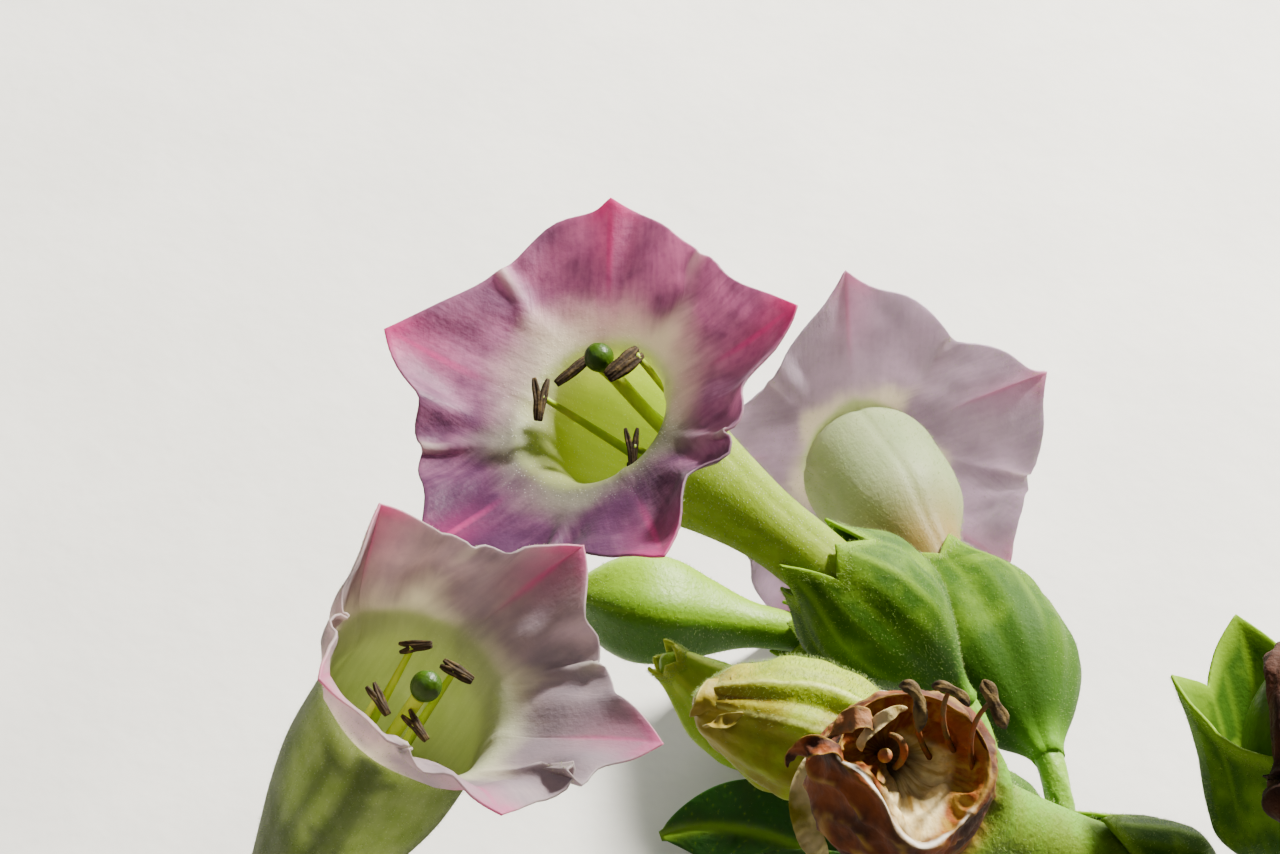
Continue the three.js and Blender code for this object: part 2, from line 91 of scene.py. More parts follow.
# Colours used in one place each, in the linear values that shaders use: painted shade on cream and
# on green, painted glints, a hair's green root, rust, a painted highlight on the withered rim, and a
# blackened brown
SHADED_CREAM = (0.13, 0.125, 0.1)
SHADED_GREEN = (0.13, 0.17, 0.03)
PAINTED_GLINT = (1.0, 1.0, 0.92)
HAIR_ROOT = (0.25, 0.4, 0.05)
RUST = (0.35, 0.06, 0.005)
PAINTED_RIM_HIGHLIGHT = (0.74, 0.7, 0.6)
BLACKENED = (0.014, 0.004, 0.001)

# The gap that touching solids keep, and how far a calyx runs down its stalk
CLEARANCE = 0.3
CALYX_FOOT = 2.0
LOBES = 5
LOBE_STEP = 2 * math.pi / LOBES


def settle(points):
    """Picture millimetres turned by the roll and the lean, then shifted to the frame's origin."""
    return np.asarray(points, float) @ TURN.T * MM + SHIFT


def mix(a, b, share):
    """A straight blend from a to b."""
    return a + (b - a) * share


def smooth(low, high, x):
    """0 below low, 1 above high, and 3s² - 2s³ between, where s is the share of the way."""
    s = np.clip((np.asarray(x, float) - low) / (high - low), 0, 1)
    return s * s * (3 - 2 * s)


def bell(x, width):
    """A bump of height 1 round 0: e to the minus square of x over its width."""
    return np.exp(-(x / width) ** 2)


def unit(vectors):
    """Vectors brought to length 1."""
    return vectors / np.maximum(np.linalg.norm(vectors, axis=-1, keepdims=True), 1e-9)


def through(rows, knots, at):
    """A smooth curve through rows: cubic Hermite pieces, each row's slope that of the parabola
    through it and its two neighbours."""
    rows, knots, at = (np.asarray(values, float) for values in (rows, knots, at))
    gaps = np.diff(knots)
    spread = (-1,) + (1,) * (rows.ndim - 1)
    chords = np.diff(rows, axis=0) / gaps.reshape(spread)
    share = (gaps[1:] / (gaps[1:] + gaps[:-1])).reshape(spread)
    middle = chords[:-1] * share + chords[1:] * (1 - share)
    slopes = np.concatenate([chords[:1], middle, chords[-1:]])
    i = np.clip(np.searchsorted(knots, at, side="right") - 1, 0, len(gaps) - 1)
    u = ((at - knots[i]) / gaps[i]).reshape(spread)
    gap = gaps[i].reshape(spread)
    return (rows[i] * (1 + 2 * u) * (1 - u) ** 2 + slopes[i] * gap * u * (1 - u) ** 2
            + rows[i + 1] * u * u * (3 - 2 * u) + slopes[i + 1] * gap * u * u * (u - 1))


def loop_through(points, columns):
    """A closed smooth curve through points, its samples even in their numbering."""
    points = np.array(points, float)
    count = len(points)
    wrapped = np.concatenate([points[-2:], points, points[:3]])
    return through(wrapped, np.arange(-2, count + 3), np.arange(columns) * count / columns)


def inside(points, corners, blur):
    """1 inside a convex outline in the picture and 0 outside: the least signed distance to its
    sides, eased over the blur. The corners run counter-clockwise."""
    corners = np.array(corners, float)
    sides = unit(np.roll(corners, -1, 0) - corners)
    away = points[..., None, :2] - corners
    depth = sides[:, 0] * away[..., 1] - sides[:, 1] * away[..., 0]
    return smooth(-blur, blur, depth.min(-1))


class CentreLine:
    """A cubic Bezier curve, in picture millimetres, that runs on straight past both ends."""

    def __init__(self, points):
        self.points = np.array(points, float)

    def slope(self, t):
        """Three times the steps between the four points, weighted by the squares of t and 1 - t."""
        a, b, c, d = self.points
        t = np.clip(np.asarray(t, float), 0, 1)[..., None]
        return 3 * (1 - t) ** 2 * (b - a) + 6 * (1 - t) * t * (c - b) + 3 * t * t * (d - c)

    def at(self, t):
        """The four points weighted by the cubes of t and 1 - t; past an end, on along the slope."""
        a, b, c, d = self.points
        t = np.asarray(t, float)[..., None]
        s = np.clip(t, 0, 1)
        curve = (1 - s) ** 3 * a + 3 * (1 - s) ** 2 * s * b + 3 * (1 - s) * s * s * c + s ** 3 * d
        return curve + self.slope(s[..., 0]) * (t - s)

    def direction(self, t):
        """The slope at length 1."""
        return unit(self.slope(t))

    def length(self):
        """The sum of fifty chords."""
        return np.linalg.norm(np.diff(self.at(np.linspace(0, 1, 51)), axis=0), axis=1).sum()


class Limb:
    """A centre line with a radius that changes evenly from its start to its end."""

    def __init__(self, points, start, end):
        self.line = CentreLine(points)
        self.start = start
        self.end = end

    def radius(self, t):
        """A straight blend of the two radii."""
        return mix(self.start, self.end, t)


def grow_from(limb, t, towards, reach):
    """The first two points of a shoot: on the limb's side nearest a point, or past its tip where
    t is 1, and then straight out by the reach."""
    root = limb.line.at(t)
    out = limb.line.direction(t)
    if t < 1:
        side = np.array(towards, float) - root
        out = unit(side - out * (side @ out))
        root = root + out * limb.radius(t)
    root = root + out * CLEARANCE
    return [root, root + out * reach]


def stalk_line(branch, t, line):
    """From a branch's side to the foot of a calyx, leaving and arriving straight."""
    foot = line.at(0) - line.direction(0) * CLEARANCE
    reach = np.linalg.norm(foot - branch.line.at(t)) * 0.3
    return CentreLine([*grow_from(branch, t, line.at(0), reach),
                       foot - line.direction(0) * reach, foot])


def across(direction):
    """Two directions square to a third: the picture's up as near as can be, then the third
    crossed with that."""
    up = np.array((0.0, 1.0, 0.0))
    first = unit(up - direction * (direction @ up)[..., None])
    return first, np.cross(direction, first)


def rings_at(centre, direction, angle, radius, rise=0.0):
    """Rings of points: out from each row's centre by radius at angle, and along by rise."""
    first, second = across(direction)
    angle, radius, rise = np.broadcast_arrays(angle, radius, rise)
    return (centre[:, None] + first[:, None] * (radius * np.cos(angle))[..., None]
            + second[:, None] * (radius * np.sin(angle))[..., None]
            + direction[:, None] * rise[..., None])


def outward(rings):
    """Unit normals of a grid of rings: the way round it crossed with the way along it."""
    along = np.gradient(rings, axis=0)
    round_it = np.roll(rings, -1, 1) - np.roll(rings, 1, 1)
    return unit(np.cross(round_it, along))


def ripple(points, seed, wavelength, waves=7):
    """A gentle random swell from about -1 to 1: the mean of seeded plane waves."""
    rng = np.random.default_rng(seed)
    ways = unit(rng.normal(size=(waves, 3))) * 2 * math.pi / wavelength
    ways = ways * rng.uniform(0.7, 1.4, (waves, 1))
    phases = rng.uniform(0, 2 * math.pi, waves)
    return np.sin(points @ ways.T + phases).mean(-1) * 1.7


def closed_skin(rings, **fields):
    """Points, faces and fields of a skin over a grid of rings, shut by a point in the middle of
    the first ring and of the last."""
    rows, columns = rings.shape[:2]
    c = np.arange(columns)
    n = (c + 1) % columns
    r = np.arange(rows - 1)[:, None] * columns
    sides = np.stack(np.broadcast_arrays(r + c, r + n, r + columns + n, r + columns + c), -1)
    first = np.full(columns, rows * columns)
    foot = np.stack([first, n, c], -1)
    head = np.stack([r[-1] + columns + c, r[-1] + columns + n, first + 1], -1)
    points = np.concatenate([rings.reshape(-1, 3), rings[:1].mean(1), rings[-1:].mean(1)])
    spread = {}
    for name, values in fields.items():
        grid = np.broadcast_to(values, (rows, columns))
        spread[name] = np.concatenate([grid.ravel(), grid[:1].mean(1), grid[-1:].mean(1)])
    return points, [sides.reshape(-1, 4), foot, head], spread


def cup_skin(outer, wall, floor=1, **fields):
    """A wall of even thickness: the outer rings, a half-round lip, and the same rings laid in
    along their normals, from the lip back to a floor."""
    normals = outward(outer)
    on = unit(outer[-1] - outer[-2])
    turn = np.linspace(0, math.pi, 5)[1:-1, None, None]
    lip = outer[-1] - normals[-1] * wall * (1 - np.cos(turn)) / 2 + on * wall / 2 * np.sin(turn)
    inner = (outer - normals * np.asarray(wall))[floor:][::-1]
    grown = {}
    for name, values in fields.items():
        grid = np.broadcast_to(values, outer.shape[:2])
        grown[name] = np.concatenate([grid, np.repeat(grid[-1:], 3, 0), grid[floor:][::-1]])
    sides = [np.zeros(len(outer)), np.full(3, 0.5), np.ones(len(inner))]
    grown["inner"] = np.concatenate(sides)[:, None]
    return closed_skin(np.concatenate([outer, lip, inner]), **grown)


def join_skins(skins):
    """Several skins as one: their points and fields in a row, their faces counted on."""
    points, faces, fields = [], [], {}
    count = 0
    for skin_points, skin_faces, skin_fields in skins:
        points.append(skin_points)
        faces += [face + count for face in skin_faces]
        count += len(skin_points)
        for name, values in skin_fields.items():
            fields.setdefault(name, []).append(values)
    return np.concatenate(points), faces, {n: np.concatenate(v) for n, v in fields.items()}


def add_piece(name, skin, finish, replaced=()):
    """One smooth mesh object from a skin, which rides with the cluster."""
    points, faces, fields = skin
    mesh = bpy.data.meshes.new(name)
    mesh.vertices.add(len(points))
    mesh.vertices.foreach_set("co", settle(points).astype(np.float32).ravel())
    corners = np.concatenate([face.ravel() for face in faces]).astype(np.int32)
    sizes = np.concatenate([np.full(len(face), face.shape[1]) for face in faces])
    starts = np.concatenate([[0], np.cumsum(sizes)[:-1]]).astype(np.int32)
    mesh.loops.add(len(corners))
    mesh.loops.foreach_set("vertex_index", corners)
    mesh.polygons.add(len(sizes))
    mesh.polygons.foreach_set("loop_start", starts)
    mesh.polygons.foreach_set("use_smooth", np.ones(len(sizes), bool))
    mesh.update(calc_edges=True)
    for field, values in fields.items():
        layer = mesh.attributes.new(field, "FLOAT", "POINT")
        layer.data.foreach_set("value", np.asarray(values, np.float32))
    if mesh.validate():
        raise RuntimeError(f"{name} has faces that Blender had to mend")
    piece = bpy.data.objects.new(name, mesh)
    bpy.context.scene.collection.objects.link(piece)
    mesh.materials.append(finish)
    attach(piece, "root")
    if replaced:
        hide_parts(*replaced)


class Value:
    """A node's output. The signs for the usual sums put further nodes on it."""

    def __init__(self, finish, socket):
        self.finish = finish
        self.socket = socket

    def __add__(self, other):
        return self.finish.sum("ADD", self, other)

    def __sub__(self, other):
        return self.finish.sum("SUBTRACT", self, other)

    def __rsub__(self, other):
        return self.finish.sum("SUBTRACT", other, self)

    def __mul__(self, other):
        return self.finish.sum("MULTIPLY", self, other)

    def __truediv__(self, other):
        return self.finish.sum("DIVIDE", self, other)


class Finish:
    """A material in the making: each call adds a node and gives back its output."""

    def __init__(self, name, **constants):
        self.material = bpy.data.materials.new(name)
        self.material.use_nodes = True
        self.tree = self.material.node_tree
        self.tree.nodes.clear()
        self.shader = self.tree.nodes.new("ShaderNodeBsdfPrincipled")
        self.output = self.tree.nodes.new("ShaderNodeOutputMaterial")
        self.place = self.node("TexCoord", "Object", {})
        self.tree.links.new(self.shader.outputs[0], self.output.inputs["Surface"])
        for socket, value in constants.items():
            self.shader.inputs[socket.replace("_", " ")].default_value = value

    def put(self, socket, value):
        """Links an output to a socket, or sets a number or colour on it."""
        if isinstance(value, Value):
            self.tree.links.new(value.socket, socket)
        elif socket.type == "RGBA":
            socket.default_value = (*value[:3], 1.0)
        else:
            socket.default_value = value

    def node(self, kind, output, inputs, **settings):
        """A node of a kind, with its settings made and its inputs put in."""
        node = self.tree.nodes.new(f"ShaderNode{kind}")
        for name, value in settings.items():
            setattr(node, name, value)
        for socket, value in inputs.items():
            self.put(node.inputs[socket], value)
        return Value(self, node.outputs[output])

    def fields(self, *names):
        """Numbers that the mesh holds at each point."""
        return [self.node("Attribute", "Fac", {}, attribute_name=name) for name in names]

    def sum(self, operation, a, b, clamp=False):
        """One sum of two numbers."""
        return self.node("Math", 0, {0: a, 1: b}, operation=operation, use_clamp=clamp)

    def most(self, first, *others):
        """The greatest of several numbers."""
        for other in others:
            first = self.sum("MAXIMUM", first, other)
        return first

    def step(self, value, low, high):
        """0 below low and 1 above high, eased between."""
        ends = {"Value": value, "From Min": low, "From Max": high}
        return self.node("MapRange", "Result", ends, interpolation_type="SMOOTHSTEP")

    def ridge(self, value, width):
        """A bump of height 1 round 0: e to the minus square of the value over its width."""
        share = value / width
        return self.sum("POWER", math.e, share * share * -1.0)

    def noise(self, scale, detail=3, vector=None):
        """Noise of so many features a metre on the object's own place, or on another vector."""
        inputs = {"Vector": vector or self.place, "Scale": scale, "Detail": detail}
        return self.node("TexNoise", "Fac", inputs)

    def spots(self, scale, low, high):
        """1 at scattered points, so many a metre, fading to 0 between two distances from them."""
        away = self.node("TexVoronoi", "Distance", {"Vector": self.place, "Scale": scale})
        return 1 - self.step(away, low, high)

    def vector(self, *values):
        """Three numbers as a vector."""
        return self.node("CombineXYZ", 0, dict(enumerate(values)))

    def blend(self, share, a, b):
        """Colour a turning to colour b by the share."""
        return self.node("Mix", 2, {0: share, 6: a, 7: b}, data_type="RGBA")

    def coat(self, colour, bump=None, depth=0.1, thin=0.0):
        """The colour and relief, in millimetres, and the share of light let through a thin wall."""
        surface = {"Color": colour}
        self.put(self.shader.inputs["Base Color"], colour)
        if bump is not None:
            surface["Normal"] = self.node("Bump", 0, {"Distance": depth * MM, "Height": bump})
            self.put(self.shader.inputs["Normal"], surface["Normal"])
        if thin:
            shaders = {0: thin, 1: Value(self, self.shader.outputs[0]),
                       2: self.node("BsdfTranslucent", 0, surface)}
            self.put(self.output.inputs["Surface"], self.node("MixShader", 0, shaders))
        return self.material


def paint(shade):
    """A colour written as six hex digits, in the linear values that shaders use."""
    parts = [int(shade[i:i + 2], 16) / 255 for i in (0, 2, 4)]
    return tuple(p / 12.92 if p <= 0.04045 else ((p + 0.055) / 1.055) ** 2.4 for p in parts)


def shade_of(name, description, shade):
    """A colour that the sidebar shows."""
    return bpy.props.FloatVectorProperty(name=name, description=description, size=3, min=0.0,
                                         max=1.0, subtype="COLOR", default=paint(shade))


def size_of(name, description, millimetres):
    """A length that the sidebar shows."""
    return bpy.props.FloatProperty(name=name, description=description, min=0.0, precision=5,
                                   unit="LENGTH", default=millimetres * MM)


class TOBACCO_PG_sizes(bpy.types.PropertyGroup):
    """Sizes shared by the pieces."""

    petal_wall: size_of("Petal", "Thickness of an open bloom's petals", 0.24)
    calyx_wall: size_of("Calyx", "Thickness of a calyx", 0.34)
    filament_radius: size_of("Filament", "Radius of a stamen's thread", 0.42)
    style_radius: size_of("Style", "Radius of the pistil's style", 0.55)
    stigma_radius: size_of("Stigma", "Radius of the pistil's ball", 1.2)
    stalk_radius: size_of("Stalk", "Radius of a flower stalk", 1.05)
    hair_length: size_of("Hair", "Length of the longest hairs", 0.55)
    hair_radius: size_of("Hair radius", "Radius of a hair at its root", 0.013)


class TOBACCO_PG_colours(bpy.types.PropertyGroup):
    """Colours of the finishes."""

    pink: shade_of("Pink", "Light patches of the main bloom's lobes", "dc98bc")
    deep_pink: shade_of("Deep pink", "Shaded patches of the main bloom's lobes", "583052")
    rib_pink: shade_of("Rib pink", "Ribs and tips of the lobes", "d2448e")
    salmon: shade_of("Salmon", "Light patches of the left bloom", "c6aeac")
    mauve: shade_of("Mauve", "Shaded patches of the left bloom", "8c7e86")
    lilac: shade_of("Lilac", "Light patches of the back bloom", "c8b4c6")
    deep_lilac: shade_of("Deep lilac", "Shaded patches of the back bloom", "8e7a8e")
    cream: shade_of("Cream", "The pale zone round a throat", "e9e3c8")
    throat: shade_of("Throat", "Inside of the tube", "dfe48c")
    tube: shade_of("Tube", "Outside of the tube", "94ae12")
    # The shaded tube and throat are darker copies of the tube's two colours, painted shade on the
    # left bloom's tube; the withered tube also takes the shaded green in patches
    shaded_tube: shade_of("Shaded tube", "Outside of the left bloom's tube", "5e7016")
    shaded_throat: shade_of("Shaded throat", "Inside of the left bloom's tube", "d2d6ac")
    pale_tube: shade_of("Pale tube", "Outside of the back bloom's tube", "9cae7c")
    calyx: shade_of("Calyx", "Calyx green", "2c4e00")
    calyx_light: shade_of("Light calyx", "Margins and ribs of a calyx", "82a61a")
    stalk: shade_of("Stalk", "Stalks, branches and stem", "5d8c18")
    # Dark bud: a shaded copy of the bud green, painted shade on the closed bud's underside
    bud: shade_of("Bud", "Closed bud", "7a9e08")
    bud_dark: shade_of("Dark bud", "Shaded base of the closed bud", "3c6400")
    wilt: shade_of("Wilted", "Yellow of the wilting bloom", "7e7400")
    wilt_tip: shade_of("Wilted tip", "Tan tips of the wilting bloom", "9c7a2c")
    dry: shade_of("Dry", "Red brown of the withered bloom", "7a3c12")
    dry_dark: shade_of("Dark dry", "Darkest folds of the withered bloom", "381a08")
    dry_pale: shade_of("Pale dry", "Cream folds of the withered bloom", "d8c48e")
    leaf: shade_of("Leaf", "Bracts", "235608")
    hair: shade_of("Hair", "Fine hairs", "d9e6a4")
    filament: shade_of("Filament", "Stamen threads", "c4c64a")
    anther: shade_of("Anther", "Empty anthers", "261a0a")
    anther_light: shade_of("Light anther", "Lips and worn backs of the anthers", "5c4a26")
    stigma: shade_of("Stigma", "Ripe stigma", "2a4204")
    floor: shade_of("Floor", "Studio floor", "cfcdc6")


def sizes_mm():
    """The sidebar's lengths, in millimetres."""
    group = bpy.context.scene.tobacco_sizes
    return {name: getattr(group, name) / MM for name in group.bl_rna.properties.keys()
            if name not in ("rna_type", "name")}


def colours():
    """The sidebar's colours."""
    return bpy.context.scene.tobacco_colours


# The cut stem, its two branches and the side shoot
STEM = Limb([STEM_CUT, (20, -90, -6.5), (16.5, -84.5, -10), (14, -80.5, -12.4)], 2.7, 2.3)
LEFT_BRANCH = Limb([*grow_from(STEM, 1, None, 9), (-20, -71.5, -17.5), (-36, -69, -20.6)],
                   2.1, 1.6)
RIGHT_BRANCH = Limb([*grow_from(STEM, 0.7, (40, -74, -10), 14), (52, -68, -18),
                     (58.2, -48.5, -14.3)], 2.0, 1.5)
SIDE_SHOOT = Limb([*grow_from(RIGHT_BRANCH, 0.58, (40, -50, -18.5), 6), (40, -48, -19.5),
                   (36.8, -38.6, -19)], 1.7, 1.4)

# Open blooms. The tips of the five lobes run round from the topmost; bulges lie in the order met
# on the way, two between a tip and the next; sides, notches and folds lie between those tips too.
# Reaches, rises and recurves shape the limb's outline, height and curl. Tones set how deep each
# lobe's colour is: partly the lobe's own colour and, on the lower lobes, partly painted shade.
# Girths are an anther's thickness, the spread of its two halves, and how far up it hangs. The
# colours are the lobes' light and deep shade and the tube's outside and inside, and the finish
# holds the other numbers that petal_finish asks for.
BLOOMS = {
    "main_bloom": {
        "line": CentreLine([(25.9, -21.7, -16), (17.5, -12.6, -13), (4.5, -3, -9.5),
                            (-3.8, 0.8, -1.1)]),
        "facing": (-0.38, 0.508, 0.773), "limb_centre": (-5.35, 2.8, 2.0), "roll": 3,
        "cup_curve": 1.2, "reaches": (17.4, 17.4, 17.3, 20.6, 19.2),
        "rises": (0, 1.6, -0.5, 2.2, 0.6), "pleat": 0.5, "tube": 2.95, "throat": 5.9,
        "mouth_radius": 6.7, "flare": (0.46, 0.93),
        "bulges": (1.9, 0.1, -1.9, -0.7, 0.1, -0.8, -2.6, -2.1, -0.4, 0.8),
        "sides": (-1, 1, 1, -1, 1),
        "recurves": (0, 0, 0, 0, 0), "ball": 0.0,
        "notches": (-0.3, 1.0, 0.3, 1.6, -0.1), "folds": (0.4, -0.4, 0.4, 0.2, 0.5),
        "tones": (0.35, 0.6, 1.05, 1.05, 0.5), "keel": 1.15,
        "calyx": {"rim": 0.345, "teeth": (0.075, 0.05, 0.06, 0.125, 0.06),
                  "webs": (0, 0, 0.04, 0.02, 0), "foot": 1.5,
                  "belly": 6.1, "neck": 3.4, "full": 0.22, "shut": (0.27, 0.42), "flare": 0,
                  "roll": 0.1},
        "branch": SIDE_SHOOT, "branch_at": 0.82,
        "anthers": ((-4.2, 5.5, -2.9), (-8.0, 2.5, -0.9), None, (-0.6, -1.5, 1.6),
                    (-0.3, 5.8, -0.6)),
        "anther_ways": ((-0.78, -0.62, 0.1), (-0.08, -1, 0.1), (0, -1, 0), (0.03, -1, 0.1),
                        (-0.78, -0.62, 0.2)),
        "girths": ((0.85, 0.06, 0.06), (0.95, 0.4, 0.42), (1.0, 0.3, 0.42), (0.75, 0.36, 0.42),
                   (1.45, 0.12, 0.14)),
        "anther_length": 3.5, "stigma": (-3.3, 5.6, -1.6), "seed": 11,
        "slot": "pink_petal", "colours": ("pink", "deep_pink", "tube", "throat"),
        "finish": {"vivid": 0.8, "green_to": 0.02, "cream_to": 0.56, "green_out_to": 0.1,
                   "neck": 0.0, "painted_light": 0.85},
    },
    "left_bloom": {
        "line": CentreLine([(-34.4, -47.2, -5), (-29.7, -38.8, 2.5), (-22.2, -28.7, 12),
                            (-17.1, -20.4, 19.6)]),
        "facing": (0.421, 0.558, 0.715), "limb_centre": (-11.6, -17.4, 26), "roll": 22.5,
        "cup_curve": 1.25, "reaches": (13.9, 13.6, 13.6, 14.5, 14.4),
        "rises": (0.1, -1.2, 0, -0.9, -0.5), "pleat": 0.9, "tube": 2.9, "throat": 7.0,
        "mouth_radius": 7.6, "flare": (0.24, 0.82),
        "bulges": (-0.3, -0.2, -0.6, -0.9, -0.4, -0.7, -1.3, -1.7, -1.6, -1.0),
        "sides": (1, 1, 1, 1, -1),
        "recurves": (0.3, 1.6, 1.9, 0.4, 0.2), "ball": 0.0,
        "notches": (0.9, 0.5, 1.7, 1.2, 0.5), "folds": (-0.9, 2.2, 2.4, -0.5, -0.3),
        "tones": (0.45, 0.35, 0.8, 0.95, 0.75), "keel": 1.15,
        "calyx": {"rim": 0.32, "teeth": (0.1, 0.06, 0.1, 0.05, 0.08), "foot": 1.5,
                  "belly": 5.7, "neck": 3.8, "full": 0.17, "shut": (0.2, 0.38), "flare": 2,
                  "roll": 0.9},
        "branch": LEFT_BRANCH, "branch_at": 0.93,
        "anthers": ((-19.8, -20.4, 22.4), None, (-17, -22.4, 22.8), (-14, -18.4, 21.6),
                    (-17.2, -16.6, 21.6)),
        "anther_ways": ((0.5, -0.86, 0.1), (0, -1, 0), (0.6, -0.8, 0.1), (0.85, -0.5, 0.1),
                        (0.9, 0.1, 0.3)),
        "girths": ((0.8, 0.2, 0.42), (1.0, 0.3, 0.42), (0.75, 0.25, 0.42), (0.95, 0.1, 0.42),
                   (0.8, 0.2, 0.42)),
        "anther_length": 2.7, "stigma": (-16.1, -19.5, 23.8), "seed": 23,
        # Its tube takes the shaded copies of the tube's colours: painted shade
        "slot": "salmon_petal", "colours": ("salmon", "mauve", "shaded_tube", "shaded_throat"),
        "finish": {"vivid": 0.6, "green_to": 0.24, "cream_to": 0.45, "green_out_to": 0.12,
                   "neck": 0.0, "painted_light": 0.3},
    },
    "back_bloom": {
        "line": CentreLine([(33.9, -26.7, -20), (31, -19.4, -27.5), (23.6, -9.2, -37.2),
                            (19.9, -2.8, -47.4)]),
        "facing": (-0.238, 0.454, -0.859), "limb_centre": (21.1, -3.3, -50), "roll": -16.4,
        "cup_curve": 1.2, "reaches": (19.5, 16.8, 19.7, 17.8, 18.0),
        "rises": (-1.0, -1.8, 3.0, 0.3, -1.6), "pleat": 0.5, "tube": 2.3, "throat": 5.8,
        "mouth_radius": 5.2, "flare": (0.55, 0.8),
        "bulges": (1.3, 0.8, 0.5, 0.4, 0.4, 0.5, 0.5, 0.6, 0.6, 0.5),
        "sides": (1, 1, 1, 1, 1),
        "recurves": (0, 0, 0, 0, 0), "ball": 0.35,
        "notches": (0.4, 0.3, 0.3, 0.4, 0.3), "folds": (0.6, -0.5, 0.5, -0.5, 0.5),
        "tones": (0.3, 0.45, 0.5, 0.4, 0.3), "keel": 1.15,
        "calyx": {"rim": 0.54, "teeth": (0.06, 0.05, 0.07, 0.04, 0.05), "foot": 1.5,
                  "belly": 6.7, "neck": 2.95, "full": 0.27, "shut": (0.36, 0.62), "flare": 1,
                  "roll": 0.1},
        "branch": SIDE_SHOOT, "branch_at": 1,
        "anthers": ((23.8, -1.4, -47.6), (26, -5.6, -48.6), None, (19.6, -7.6, -49.2),
                    (18.9, -2.4, -47)),
        "anther_ways": ((0.3, -1, 0), (-0.2, -1, 0), (0, -1, 0), (0.1, -1, 0), (0.5, -1, 0)),
        "girths": ((1.0, 0.3, 0.42),) * LOBES,
        "anther_length": 3.5, "stigma": (21.8, -4.1, -49.8), "seed": 37,
        "slot": "lilac_petal", "colours": ("lilac", "deep_lilac", "pale_tube", "cream"),
        "finish": {"vivid": 0.35, "green_to": 0.2, "cream_to": 0.2, "green_out_to": 0.08,
                   "neck": 0.8, "painted_light": 0.0},
    },
}

# The other buds and blooms, each on its own line
CLOSED_BUD = {
    "line": CentreLine([(22.4, -19.8, -31), (13.5, -17.2, -31.5), (4, -16.6, -31),
                        (-6, -14.2, -30)]),
    "calyx": {"rim": 0.3, "teeth": (0.08, 0.05, 0.09, 0.04, 0.06), "foot": 1.2, "belly": 3.6,
              "neck": 2.3, "full": 0.15, "shut": (0.14, 0.34), "flare": 1, "roll": 0},
    "branch": SIDE_SHOOT, "branch_at": 0.72,
}
SMALL_BUD = {
    "line": CentreLine([(12.6, -28.2, -17.5), (9.4, -25.2, -16.5), (6, -22.4, -14.5),
                        (3, -19.9, -13)]),
    "calyx": {"rim": 1.06, "teeth": (0.1, 0.06, 0.09, 0.05, 0.08), "foot": 1.3, "belly": 3.6,
              "neck": 1.5, "full": 0.4, "shut": (0.55, 1.1), "flare": -1, "roll": 0.4},
    "branch": SIDE_SHOOT, "branch_at": 0.5,
}
WILTING_BLOOM = {
    "line": CentreLine([(33.3, -36.0, -11), (25.5, -30.4, -9), (16.5, -24.6, -4),
                        (4.6, -22.2, -3.6)]),
    "calyx": {"rim": 0.34, "teeth": (0.09, 0.06, 0.1, 0.05, 0.08), "foot": 1.4, "belly": 4.6,
              "neck": 3.6, "full": 0.17, "shut": (0.2, 0.38), "flare": 2, "roll": 0},
    "branch": SIDE_SHOOT, "branch_at": 0.93,
}
WITHERED_BLOOM = {
    "line": CentreLine([(47.8, -39.0, -8), (38.5, -36.5, -6), (20.5, -30, 3),
                        (20.4, -26.6, 15.5)]),
    "calyx": {"rim": 0.3, "teeth": (0.09, 0.08, 0.08, 0.06, 0.08), "foot": 1.4, "belly": 5.6,
              "neck": 4.2, "full": 0.17, "shut": (0.2, 0.38), "flare": 1, "roll": 0.6},
    "branch": RIGHT_BRANCH, "branch_at": 0.82,
}
FRUIT = {
    "line": CentreLine([(56, -37, -3), (54.6, -31.5, -1.4), (52.6, -25.5, 0.6), (51, -19.6, 2)]),
    "calyx": {"rim": 0.73, "teeth": (0.43, 0.36, 0.06, 0.04, 0.2), "webs": (0.2, 0.15, 0, 0, 0.05),
              "foot": 1.8, "belly": 8.0, "neck": 7.3, "full": 0.42, "shut": (0.5, 0.95), "flare": 2.5,
              "roll": 1.05},
    "branch": RIGHT_BRANCH, "branch_at": 1,
}
FLOWERS = {**BLOOMS, "closed_bud": CLOSED_BUD, "small_bud": SMALL_BUD,
           "wilting_bloom": WILTING_BLOOM, "withered_bloom": WITHERED_BLOOM, "fruit": FRUIT}

# Shares of the way along a tube and out over a limb at which their rings are worked out
TUBE_STEPS = (0.05, 0.085, 0.16, 0.28, 0.4, 0.52, 0.64, 0.76, 0.88, 0.96)
LIMB_STEPS = (0.0, 0.12, 0.4, 0.72, 1.0)

# Each notch's plait, as bells across it: height, place and width
PLAIT = ((0.42, 0.0, 0.75), (-0.24, 1.7, 0.9), (0.12, 3.4, 0.9))
KEEL_WIDTH = 1.5


def tube_radius(bloom, t):
    """Half width at the foot growing to the tube's own and, over the flare, to the throat's, plus
    a bell where the tube swells to a ball."""
    foot = mix(0.5, 1, smooth(0.05, 0.14, t))
    belly = smooth(*bloom["flare"], t)
    ball = bloom["ball"] * bell(np.asarray(t) - 0.85, 0.14)
    return bloom["tube"] * foot + (bloom["throat"] - bloom["tube"]) * belly + ball


def facing_at(bloom, t):
    """The centre line's direction, turning to the limb's own facing over the last third."""
    share = smooth(0.7, 1, t)[..., None]
    facing = unit(np.array(bloom["facing"], float))
    return unit(bloom["line"].direction(t) * (1 - share) + facing * share)


def between_tips(values, lobe):
    """A value for each of the five tips, eased by a half cosine from one tip to the next."""
    values = np.array(values, float)
    tip = np.floor(lobe).astype(int)
    share = (1 - np.cos(math.pi * (lobe - tip))) / 2
    return mix(values[tip % LOBES], values[(tip + 1) % LOBES], share)


